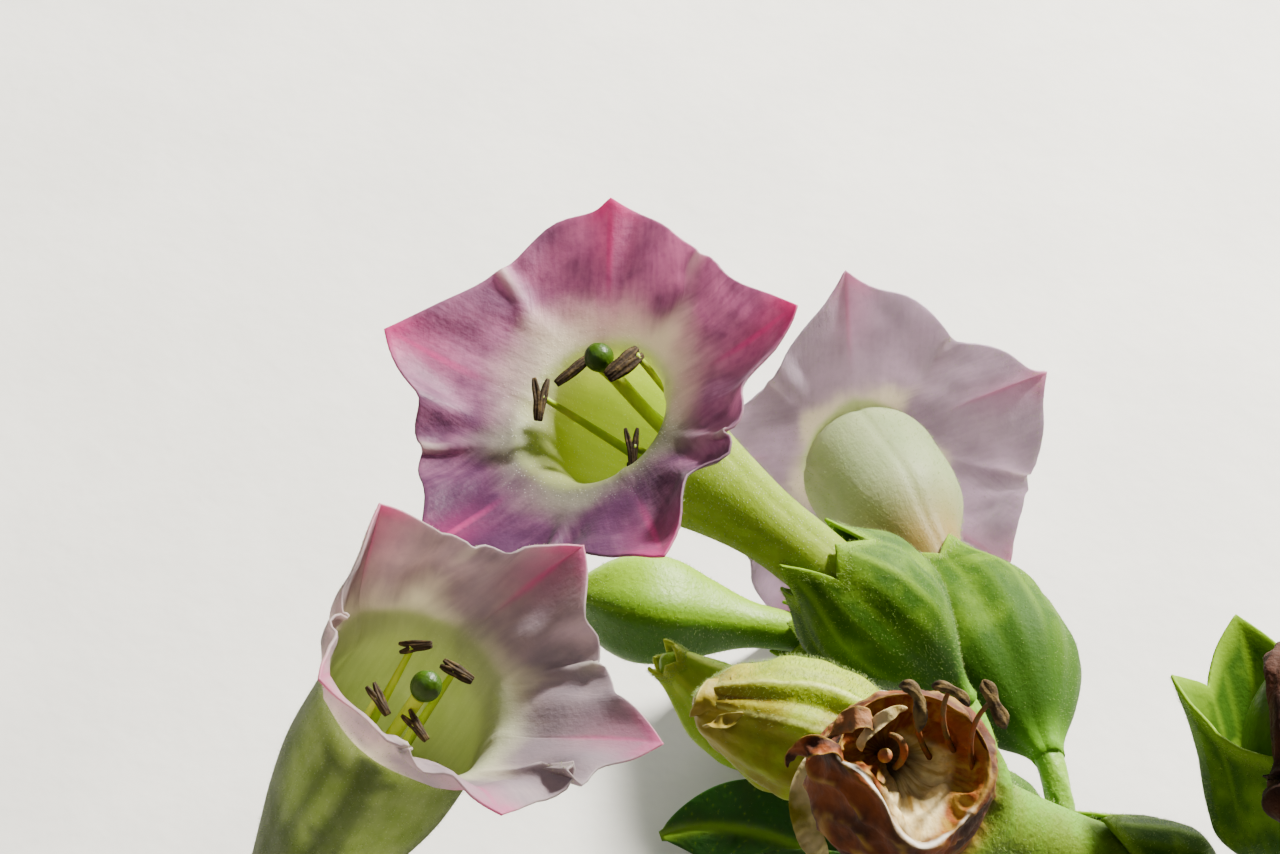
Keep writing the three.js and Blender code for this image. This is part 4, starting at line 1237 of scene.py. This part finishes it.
def pistil_skin(bloom, style, ball_radius):
    """An ovary, a slender style and a ball that is cut across by a shallow groove: a ring profile
    along the middle of the tube, the ball a half sine in its radius."""
    tip = np.array(bloom["stigma"], float)
    line = CentreLine([*bloom["line"].at((0.1, 0.36, 0.72)), tip])
    ball = ball_radius / line.length()
    stem = np.linspace(0, 1 - ball * 0.92, 90)
    stem_radius = through((1.0, 1.25, 0.95, style, style, style, style * 1.1),
                          (0, 0.06, 0.13, 0.19, 0.4, 0.8, 1.0), stem)
    turn = np.linspace(math.acos(-0.92), 0.0, 30)[1:-1]
    t = np.concatenate([stem, 1 - ball * -np.cos(turn)])
    radius = np.concatenate([stem_radius, ball_radius * np.sin(turn)])
    angle = np.arange(36) * 2 * math.pi / 36
    groove = 1 - 0.1 * bell(np.sin(angle), 0.2) * smooth(1 - ball, 1 + ball * 0.4, t)[:, None]
    rings = rings_at(line.at(t), line.direction(t), angle, radius[:, None] * groove)
    return closed_skin(rings, ball=smooth(1 - ball * 1.3, 1 - ball * 0.7, t)[:, None])


class TOBACCO_OT_stamens(bpy.types.Operator):
    """Make the stamens and the pistil of each open bloom."""

    bl_idname = "tobacco.stamens"
    bl_label = "Stamens and pistils"

    def execute(self, context):
        c, s = colours(), sizes_mm()
        thread = plain_finish("filament", c.filament, c.tube, 160, thin=0.15, Roughness=0.45)
        anther, pistil = anther_finish(), pistil_finish()
        for name, bloom in BLOOMS.items():
            threads, anthers = [], []
            for number in range(LOBES):
                line = stamen_line(bloom, number)
                radius = s["filament_radius"]
                rings = limb_rings(line, (-0.01, 0.5, 1.0), (radius, radius * 1.1, radius * 0.6),
                                   60, 12)[0]
                threads.append(closed_skin(rings))
                anthers.append(anther_skin(line.at(1.0), bloom["anther_ways"][number],
                                           bloom["anther_length"], *bloom["girths"][number]))
            add_piece(f"{name}_filaments", join_skins(threads), thread,
                      [f"{name}_stamen_{k + 1}" for k in range(LOBES)])
            add_piece(f"{name}_anthers", join_skins(anthers), anther)
            skin = pistil_skin(bloom, s["style_radius"], s["stigma_radius"])
            add_piece(f"{name}_style", skin, pistil, (f"{name}_pistil",))
        return {"FINISHED"}


class TOBACCO_OT_calyces(bpy.types.Operator):
    """Make every calyx and its coat of hairs."""

    bl_idname = "tobacco.calyces"
    bl_label = "Calyces"

    def execute(self, context):
        c, s = colours(), sizes_mm()
        green = calyx_finish("calyx_green", c.calyx, c.calyx_light, c.stalk)
        young = calyx_finish("young_calyx_green", c.calyx_light, c.filament, c.stalk)
        hair = hair_finish("calyx_hair")
        counts = {"main_bloom": 5000, "left_bloom": 2000, "back_bloom": 4000, "closed_bud": 1100,
                  "small_bud": 1800, "wilting_bloom": 2400, "withered_bloom": 4600,
                  "fruit": 5600}
        for number, (name, flower) in enumerate(FLOWERS.items()):
            rings, fields = calyx_rings(flower["line"], flower["calyx"])
            skin = cup_skin(rings, s["calyx_wall"], 3, **fields)
            add_piece(f"{name}_sepals", skin, young if name == "small_bud" else green,
                      (f"{name}_calyx",))
            body = hair_coat(rings, counts[name], 100 + number, s["hair_length"] * 0.42,
                             lean=0.05, bead_share=0.1)
            edge = hair_coat(rings[-5:], 900, 120 + number, s["hair_length"] * 0.7, lean=1.0)
            add_piece(f"{name}_sepal_hairs", join_skins([body, edge]), hair)
        return {"FINISHED"}


class TOBACCO_OT_buds(bpy.types.Operator):
    """Make the closed bud and the head of the small bud."""

    bl_idname = "tobacco.buds"
    bl_label = "Buds"

    def execute(self, context):
        s = sizes_mm()
        green = bud_finish()

        def pleats(angle, t):
            """Five shallow folds that wind a little towards the tip."""
            return 0.045 * np.cos(5 * angle + 2.5 * t) * smooth(0.3, 0.8, t)

        buds = (
            (CLOSED_BUD, "closed_bud_petals", "closed_bud_corolla",
             (0.05, 0.16, 0.34, 0.48, 0.6, 0.72, 0.83, 0.92, 0.99, 1.01),
             (1.5, 1.7, 1.7, 2.1, 3.3, 4.5, 4.5, 3.2, 1.1, 0.3), 130, 90, 3800, 0.45),
            (SMALL_BUD, "small_bud_petals", "small_bud_head", (0.14, 0.4, 0.7, 0.98, 1.09, 1.13),
             (1.6, 2.4, 2.2, 1.3, 0.9, 0.25), 70, 60, 700, 0.5),
        )
        coats = []
        for number, (bud, name, solid, knots, radii, rows, columns, count, share) in (
                enumerate(buds)):
            rings, t, angle = limb_rings(bud["line"], knots, radii, rows, columns, pleats)
            # Painted light and shade: the closed bud lighter on top and darker below by the cosine of
            # the angle; the small bud's head light green all over
            top = np.cos(angle) if bud is CLOSED_BUD else 1.0
            fold = np.sin(2.5 * angle + 1.25 * t[:, None])
            add_piece(name, closed_skin(rings, top=top, pleat=fold), green, (solid,))
            coats.append(hair_coat(rings, count, 141 + number, s["hair_length"] * share))
        add_piece("bud_hairs", join_skins(coats), hair_finish("bud_hair"))
        return {"FINISHED"}


def strip_skin(points, half_width, towards, thickness, seed, curl=0.0, rows=70, columns=28):
    """A thin strip along a curve: a flat oval section as wide as asked, that turns about the
    curve by the curl from one end to the other, narrows at both ends as a sine to a power, is
    bowed across by a square and crumpled by a random swell."""
    line = CentreLine(points)
    t = np.linspace(0.0, 1.0, rows)
    angle = np.arange(columns) * 2 * math.pi / columns
    ahead = line.direction(t)
    towards = np.array(towards, float)
    first = unit(towards - ahead * (ahead @ towards)[:, None])
    second = np.cross(ahead, first)
    twist = (curl * (t - 0.5))[:, None]
    across_it = second * np.cos(twist) + first * np.sin(twist)
    out = np.cross(across_it, ahead)
    width = half_width * np.sin(math.pi * (0.06 + 0.88 * t)) ** 0.6
    x = width[:, None] * np.cos(angle)
    y = thickness / 2 * np.sin(angle) * np.ones((rows, 1))
    rings = (line.at(t)[:, None] + across_it[:, None] * x[..., None] + out[:, None] * y[..., None])
    sway = ripple(line.at(t)[:, None] + across_it[:, None] * x[..., None], seed, 2.6)
    bow = (x / half_width) ** 2 * half_width * 0.35
    crumple = 0.3 * sway + 0.12 * ripple(rings, seed + 40, 1.1)
    rings = rings + out[:, None] * (crumple + bow)[..., None]
    return closed_skin(rings, edge=np.abs(np.cos(angle)))


class TOBACCO_OT_wilting(bpy.types.Operator):
    """Make the wilting bloom: a closed yellow corolla whose lobes fold into two lips."""

    bl_idname = "tobacco.wilting"
    bl_label = "Wilting bloom"

    def execute(self, context):
        s = sizes_mm()
        crease_at = -1.25

        def off_crease(angle, t):
            """The angle from the crease, which is on the viewer's side and winds a little."""
            return np.angle(np.exp(1j * (angle - crease_at - 0.25 * (1 - t))))

        def lips(angle, t):
            """Five low pleats, two folded lips towards the tip, a crease on the viewer's side
            with a crest on each side of it, and fine lengthwise wrinkles."""
            folded = smooth(0.6, 1, t)
            side = np.where(np.sin(angle) > 0, 1, 0.3)
            off = off_crease(angle, t)
            crease = (-0.16 * bell(off, 0.13) + 0.07 * bell(off - 0.34, 0.16)
                      + 0.05 * bell(off + 0.34, 0.16)) * smooth(0.3, 0.62, t)
            fine = 0.018 * np.cos(17 * angle + 4 * np.sin(6 * t)) * smooth(0.2, 0.6, t)
            return (-0.22 * folded * np.cos(angle * 2) ** 8 * side + 0.05 * np.cos(5 * angle)
                    + crease + fine)

        knots = (0.05, 0.14, 0.3, 0.44, 0.56, 0.68, 0.79, 0.89, 0.96, 1.0, 1.01)
        radii = (1.6, 2.4, 2.7, 3.3, 4.6, 5.6, 5.7, 4.4, 2.9, 1.3, 0.5)
        rings, t, angle = limb_rings(WILTING_BLOOM["line"], knots, radii, 150, 120, lips)
        rings = rings + outward(rings) * (0.16 * ripple(rings, 151, 3.0))[..., None]
        off = off_crease(angle, t[:, None])
        skins = [closed_skin(rings, along=t[:, None], top=np.cos(angle), crease=off,
                             crest=np.abs(off) - 0.3)]
        curls = (
            ([(7.4, -19.9, -3.0), (6.6, -20.8, -1.2), (5.0, -22.6, -0.8), (4.4, -23.4, -2.2)],
             1.2, 2.4),
            ([(8.2, -22.9, 0.3), (7.2, -23.4, 0.6), (6.0, -23.9, 0.1), (5.2, -23.7, -0.9)],
             0.6, -2.0),
        )
        for number, (path, half, curl) in enumerate(curls):
            points, faces, fields = strip_skin(path, half, (0, 0.3, 1), 0.3, 152 + number, curl)
            ends = np.ones(len(points))
            skins.append((points, faces, {"along": ends, "top": ends * 0, "crease": ends,
                                          "crest": fields["edge"] - 0.95}))
        add_piece("wilting_petals", join_skins(skins), wilting_finish(),
                  ("wilting_bloom_corolla",))
        top = np.clip(np.cos(angle) * 0.8 + 0.45, 0.12, 1) * np.ones((len(t) - 1, 1))
        coat = hair_coat(rings, 6800, 155, s["hair_length"] * 0.8, top ** 2)
        add_piece("wilting_hairs", coat, hair_finish("wilting_hair"))
        return {"FINISHED"}


# The withered pouch: its rim and belly from the top counter-clockwise, its hollow, and the parts
# of the hollow that are bleached and rusty
POUCH_RIM = ((20.5, -20.7, 14), (18.3, -21.1, 14.5), (16.6, -22.3, 15), (15.6, -23.8, 16),
             (15.2, -25.3, 17), (16.9, -26.3, 18.5), (18.6, -28.4, 19.5), (19.8, -30.8, 19.5),
             (21.7, -32, 19), (23.5, -31.1, 18), (25.3, -29.5, 17), (26.5, -27.9, 16),
             (26.9, -26, 15), (26.3, -24, 14.5), (24.9, -22.3, 14), (22.7, -21, 14))
POUCH_BELLY = ((20.8, -21.2, 8), (18.2, -21.8, 8.5), (15.8, -23, 9.5), (13.7, -24.8, 11),
               (12.8, -27, 12), (13.3, -29.5, 12.5), (14.4, -32.1, 13), (16.3, -34.2, 12.5),
               (19.2, -35.3, 12), (22.2, -34.9, 11), (24.8, -33, 10), (26.7, -30.1, 9),
               (27.4, -26.8, 9), (27.1, -24.7, 8), (25.7, -22.6, 8), (23.4, -21.4, 8))
POUCH_HOLLOW = (19.2, -25.7, 9)
POUCH_PALE = ((20.4, -23.8), (19.2, -26.2), (18.8, -28), (19.6, -30.3), (21.2, -31.9),
              (23.4, -30.6), (23.8, -28), (24.6, -25.6))
POUCH_RUST = ((22.3, -24.2), (24.6, -25.6), (26.4, -25.8), (25.9, -23.6), (23.4, -21.8))

# Dry curls at the pouch's rim: centre line, half width, turn from end to end, and how pale
DRY_CURLS = (
    ([(11.2, -25.8, 16.8), (12.0, -24.0, 18.8), (14.2, -23.8, 19.2), (15.4, -25.4, 18)],
     0.85, 2.6, 0.0),
    ([(14.6, -24.4, 15.8), (15.4, -22.0, 17.8), (17.2, -21.6, 18), (17.8, -23.6, 16)],
     0.9, 2.2, 0.1),
    ([(16.9, -24.8, 16), (17.6, -22.9, 17.4), (19.0, -21.6, 17.6), (20.3, -21.6, 15.8)],
     0.55, -1.6, 0.6),
    ([(13.6, -25.6, 10), (11.9, -28.6, 10.8), (12.4, -31.8, 10.4), (15.2, -35.2, 9)],
     1.1, 0.4, 1.0),
)

# Dried anthers: centre line and girth
DRY_ANTHERS = (
    ([(19.8, -19.8, 18.3), (21.1, -19.5, 19.0), (21.7, -20.9, 19.0), (21.3, -23.3, 17.8)], 0.42),
    ([(22.3, -19.8, 18.2), (23.3, -19.6, 19.0), (24.4, -20.1, 19.0), (25.1, -21.3, 18.6)], 0.34),
    ([(26.2, -19.3, 18.5), (26.7, -20.3, 19.0), (27.3, -21.7, 19.0), (27.9, -23.0, 18.6)], 0.46),
)


def pouch_rings(rows=210, columns=240):
    """The withered tube's rings, the belly and rim of the pouch with a bowed loop between, and
    loops at shares of the way from the rim to the hollow, joined by a smooth curve along each
    column. The dry part is creased by one minus the size of random swells; the hollow's wall
    also has ridges that fan out, a cosine of the angle."""
    line = WITHERED_BLOOM["line"]
    t = np.array((0.05, 0.1, 0.22, 0.38, 0.5, 0.6))
    radii = np.array((1.6, 2.6, 3.4, 3.6, 3.8, 4.1))[:, None]
    angle = np.arange(columns) * 2 * math.pi / columns
    tube = rings_at(line.at(t), line.direction(t), angle, radii)
    rim, belly = loop_through(POUCH_RIM, columns), loop_through(POUCH_BELLY, columns)
    low = mix(tube[-1], belly, 0.6)
    bowed = mix(belly, rim, 0.55)
    walls = np.stack([low + (low - low.mean(0)) * 0.08, belly,
                      bowed + (bowed - bowed.mean(0)) * 0.1, rim])
    share = np.array((0.05, 0.3, 0.55, 0.8, 0.97))[:, None, None]
    hollow = mix(rim[None], np.array(POUCH_HOLLOW, float), share)
    hollow = hollow - np.sin(math.pi * share) * np.array((0.0, 0.0, 1.6))
    stations = np.concatenate([tube, walls, hollow])
    steps = np.linalg.norm(np.diff(stations, axis=0), axis=2).mean(1)
    arc = np.concatenate([[0], np.cumsum(steps)])
    at = np.linspace(0, arc[-1], rows)
    rings = through(stations, arc, at)
    dry = smooth(arc[6], arc[7], at)[:, None]
    edge = (at - arc[9])[:, None]
    bowl = smooth(0, arc[-1] - arc[9], edge)
    folds = 1 - 2 * np.abs(ripple(rings, 161, 5.5))
    small = 1 - 2 * np.abs(ripple(rings, 162, 2.2))
    ridges = np.cos(11 * angle + 2 * ripple(rings, 163, 5.0)) * np.sin(math.pi * bowl)
    calm = 1 - 0.6 * bell(edge, 1.0)
    relief = dry * calm * (0.42 * folds + 0.16 * small - 0.35) + 0.16 * ridges
    rings = rings + outward(rings) * relief[..., None]
    within = smooth(0.1, 0.5, edge)
    turn = angle / (2 * math.pi)
    # The front of the rim, raggedly, takes the painted highlight
    front = smooth(0.18, 0.26, turn) * smooth(0.66, 0.56, turn)
    ragged = smooth(-0.5, 0.3, ripple(rings, 164, 4.0))
    return rings, {"dry": dry, "folds": folds, "turn": angle, "bowl": bowl, "within": within,
                   "pale": inside(rings, POUCH_PALE, 0.5) * within,
                   "rust": inside(rings, POUCH_RUST, 0.6) * within,
                   "rim": bell(edge, 0.42), "white": bell(edge - 0.1, 0.36) * front * ragged}


class TOBACCO_OT_withered(bpy.types.Operator):
    """Make the withered bloom: green tube, creased brown pouch, curls and dried stamens."""

    bl_idname = "tobacco.withered"
    bl_label = "Withered bloom"

    def execute(self, context):
        s = sizes_mm()
        rings, fields = pouch_rings()
        add_piece("withered_petals", closed_skin(rings, **fields), pouch_finish(),
                  ("withered_bloom_corolla",))
        skins = []
        for number, (points, half, turn, tone) in enumerate(DRY_CURLS):
            skin = strip_skin(points, half, (0.1, 0.2, 1), 0.28, 165 + number, turn)
            skin[2]["pale"] = np.full(len(skin[0]), tone)
            skins.append(skin)
        add_piece("withered_curls", join_skins(skins), curl_finish())
        self.dried_stamens()
        tube = rings[fields["dry"][:, 0] < 0.4]
        coat = hair_coat(tube, 3200, 169, s["hair_length"] * 0.8)
        add_piece("withered_hairs", coat, hair_finish("withered_hair"))
        return {"FINISHED"}

    def dried_stamens(self):
        """Three threads over the rim, each to a curved rod, one more that bends back into the
        hollow, and the dried style there."""
        c = colours()
        line = WITHERED_BLOOM["line"]
        brown = plain_finish("dry_stamen", c.dry, c.anther_light, 700, Roughness=0.75,
                             Specular_IOR_Level=0.2)
        dark = plain_finish("dry_anther", c.anther, c.anther_light, 900, Roughness=0.8,
                            Specular_IOR_Level=0.15)
        over = line.at(1.0) + line.direction(1.0) * 3
        threads, anthers = [], []
        for number, (points, girth) in enumerate(DRY_ANTHERS):
            rod = CentreLine(points)
            where = np.array((0.6, 0.78))
            turn = np.array((0.7 - 1.1 * number, 0.5 - 0.9 * number))[:, None]
            root, wall = rings_at(line.at(where), line.direction(where), turn,
                                  np.array((2.4, 3.4))[:, None])[:, 0]
            tip = rod.at(0.45) - (0.0, 0.0, girth * 0.6)
            path = CentreLine([root, wall, mix(tip, over, 0.45), tip])
            rings = limb_rings(path, (0, 0.5, 1.0), (0.24, 0.24, 0.2), 60, 12)[0]
            threads.append(closed_skin(rings))
            rings = limb_rings(rod, (0, 0.07, 0.5, 0.93, 1.0),
                               (0.12, girth * 0.85, girth, girth * 0.85, 0.12), 50, 24,
                               lambda a, t: -0.25 * bell(np.sin((a - 1.2) / 2), 0.12)
                               + 0.08 * np.sin(3 * a + 9 * t))[0]
            anthers.append(closed_skin(rings))
        style = CentreLine([POUCH_HOLLOW, (19.0, -25.6, 11), (18.8, -25.4, 13), (18.9, -25.3, 15)])
        rings = limb_rings(style, (0, 0.6, 0.76, 0.9, 1.0, 1.02),
                           (0.26, 0.26, 0.35, 0.55, 0.35, 0.1), 50, 24)[0]
        stigma = closed_skin(rings)
        bent = CentreLine([(19.3, -23.7, 14.8), (20.4, -23.8, 16.2), (20.7, -25.4, 16),
                           (19.8, -26.4, 12)])
        rings = limb_rings(bent, (0, 0.5, 1.0), (0.2, 0.32, 0.26), 40, 14)[0]
        threads.append(closed_skin(rings))
        add_piece("withered_threads", join_skins(threads), brown,
                  [f"withered_bloom_stamen_{k + 1}" for k in range(3)])
        add_piece("withered_anthers", join_skins(anthers), dark)
        tan = plain_finish("dry_stigma", c.dry, c.wilt_tip, 900, Roughness=0.7)
        add_piece("withered_style", stigma, tan)


class TOBACCO_OT_fruit(bpy.types.Operator):
    """Make the fruit: a glossy capsule and the dry corolla that hangs from its tip."""

    bl_idname = "tobacco.fruit"
    bl_label = "Fruit"

    def execute(self, context):
        c = colours()
        gloss = plain_finish("capsule_green", c.stigma, c.calyx, 300, Roughness=0.4,
                             Specular_IOR_Level=0.25)
        line = FRUIT["line"]

        def seams(angle, t):
            """Two furrows from the foot to the tip."""
            return -0.035 * bell(np.sin(angle), 0.12)

        rings = limb_rings(line, (0.085, 0.16, 0.34, 0.56, 0.78, 0.92, 1.0, 1.03),
                           (1.2, 2.6, 4.4, 4.9, 4.1, 2.5, 1.0, 0.3), 90, 72, seams)[0]
        add_piece("fruit_body", closed_skin(rings), gloss, ("fruit_capsule",))
        paper = plain_finish("dry_tube", BLACKENED, c.dry_dark, 320, depth=0.2, Roughness=0.8,
                             Specular_IOR_Level=0.15)
        dry = CentreLine([line.at(1.0), (51.2, -17.0, 5), (51.2, -17.0, 13), (51, -31, 11.2)])

        def shrivel(angle, t):
            """Three deep folds that wind along it, and nine small ones."""
            return 0.16 * np.sin(3 * angle + 8 * t) + 0.06 * np.sin(9 * angle - 14 * t)

        rings = limb_rings(dry, (0, 0.12, 0.3, 0.5, 0.7, 0.86, 1, 1.01),
                           (0.5, 1.0, 1.6, 2.1, 2.3, 2.0, 1.1, 0.4), 120, 72, shrivel)[0]
        rings = rings + outward(rings) * (0.2 * ripple(rings, 171, 2.4))[..., None]
        add_piece("fruit_dry_tube", closed_skin(rings), paper, ("fruit_dry_corolla",))
        return {"FINISHED"}


def bract_rings(points, half_width, fold, rows=110, columns=96):
    """A blade: a thin oval section carried along a curve, its half width a sine to a power of the
    way along, folded up on both sides of the midrib. The midrib stands out below, and side veins
    that slant towards the tip are sunk above."""
    line = CentreLine(points)
    t = np.linspace(-0.02, 1.0, rows)[:, None]
    along = np.clip(t, 0.0, 0.995)
    angle = np.arange(columns) * 2 * math.pi / columns
    width = np.maximum(half_width * np.sin(math.pi * along ** 1.05) ** 0.72, 0.45)
    width = width * (1 + 0.03 * np.sin(23 * t + 2 * np.sin(7 * t)))
    x = -np.cos(angle)
    y = np.sign(np.sin(angle)) * np.abs(np.sin(angle)) ** 0.7
    off = np.abs(x) * width
    length = line.length()
    vein = np.abs(np.sin((t * length * 0.75 - off * 0.55) * math.pi / 1.5))
    sunk = (0.12 * bell(vein, 0.22) + 0.18 * bell(off, 0.4)) * smooth(1.0, 0.6, np.abs(x))
    thickness = 0.2 + 0.25 * bell(off, 0.7) * (1 - along)
    first, side = across(line.direction(t[:, 0]))
    lift = -(y * thickness + off * fold) + np.where(y < 0, -sunk, sunk * 0.4)
    rings = (line.at(t[:, 0])[:, None] + first[:, None] * (x * width)[..., None]
             + side[:, None] * lift[..., None])
    rings = rings + side[:, None] * (0.35 * ripple(rings, 181, 6.0))[..., None]
    return rings[:, ::-1], {"rib": off[:, ::-1], "vein": vein[:, ::-1]}


class TOBACCO_OT_bracts(bpy.types.Operator):
    """Make the two bracts."""

    bl_idname = "tobacco.bracts"
    bl_label = "Bracts"

    def execute(self, context):
        s = sizes_mm()
        leaf = bract_finish()
        blades = (("upper_bract", (0.6, (20, -42, -26), 5), [(16, -29.5, -25), (1.7, -34.7, -24)],
                   7.4), ("lower_bract", (0.25, (20, -44, -14), 7),
                          [(17, -29.5, -14.5), (5.5, -41, -14.5)], 6.0))
        coats = []
        for number, (name, (at, towards, reach), rest, width) in enumerate(blades):
            points = [*grow_from(SIDE_SHOOT, at, towards, reach), *rest]
            rings, fields = bract_rings(points, width, 0.25)
            add_piece(f"{name}_blade", closed_skin(rings, **fields), leaf, (name,))
            coats.append(hair_coat(rings, 1200, 185 + number, s["hair_length"] * 0.6))
        add_piece("bract_hairs", join_skins(coats), hair_finish("bract_hair"))
        return {"FINISHED"}


STEPS = (TOBACCO_OT_studio, TOBACCO_OT_stalks, TOBACCO_OT_petals, TOBACCO_OT_stamens,
         TOBACCO_OT_calyces, TOBACCO_OT_buds, TOBACCO_OT_wilting, TOBACCO_OT_withered,
         TOBACCO_OT_fruit, TOBACCO_OT_bracts)


class TOBACCO_PT_panel(bpy.types.Panel):
    """Lists the steps that dress the cluster, and its colours and sizes."""

    bl_idname = "TOBACCO_PT_panel"
    bl_label = "Tobacco flower cluster"
    bl_space_type = "VIEW_3D"
    bl_region_type = "UI"
    bl_category = "Tobacco"

    def draw(self, context):
        for step in STEPS:
            self.layout.operator(step.bl_idname)
        for group in (context.scene.tobacco_sizes, context.scene.tobacco_colours):
            column = self.layout.column()
            for name in group.bl_rna.properties.keys():
                if name not in ("rna_type", "name"):
                    column.prop(group, name)


CLASSES = (TOBACCO_PG_sizes, TOBACCO_PG_colours, *STEPS, TOBACCO_PT_panel)


def register():
    """Registers the classes and hangs the two property groups on the scene."""
    for item in CLASSES:
        bpy.utils.register_class(item)
    bpy.types.Scene.tobacco_sizes = bpy.props.PointerProperty(type=TOBACCO_PG_sizes)
    bpy.types.Scene.tobacco_colours = bpy.props.PointerProperty(type=TOBACCO_PG_colours)


def unregister():
    """Takes the property groups and classes away again."""
    del bpy.types.Scene.tobacco_colours
    del bpy.types.Scene.tobacco_sizes
    for item in reversed(CLASSES):
        bpy.utils.unregister_class(item)


def main():
    """Registers the add-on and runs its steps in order."""
    register()
    for step in STEPS:
        group, name = step.bl_idname.split(".")
        getattr(getattr(bpy.ops, group), name)()


if __name__ == "__main__":
    main()
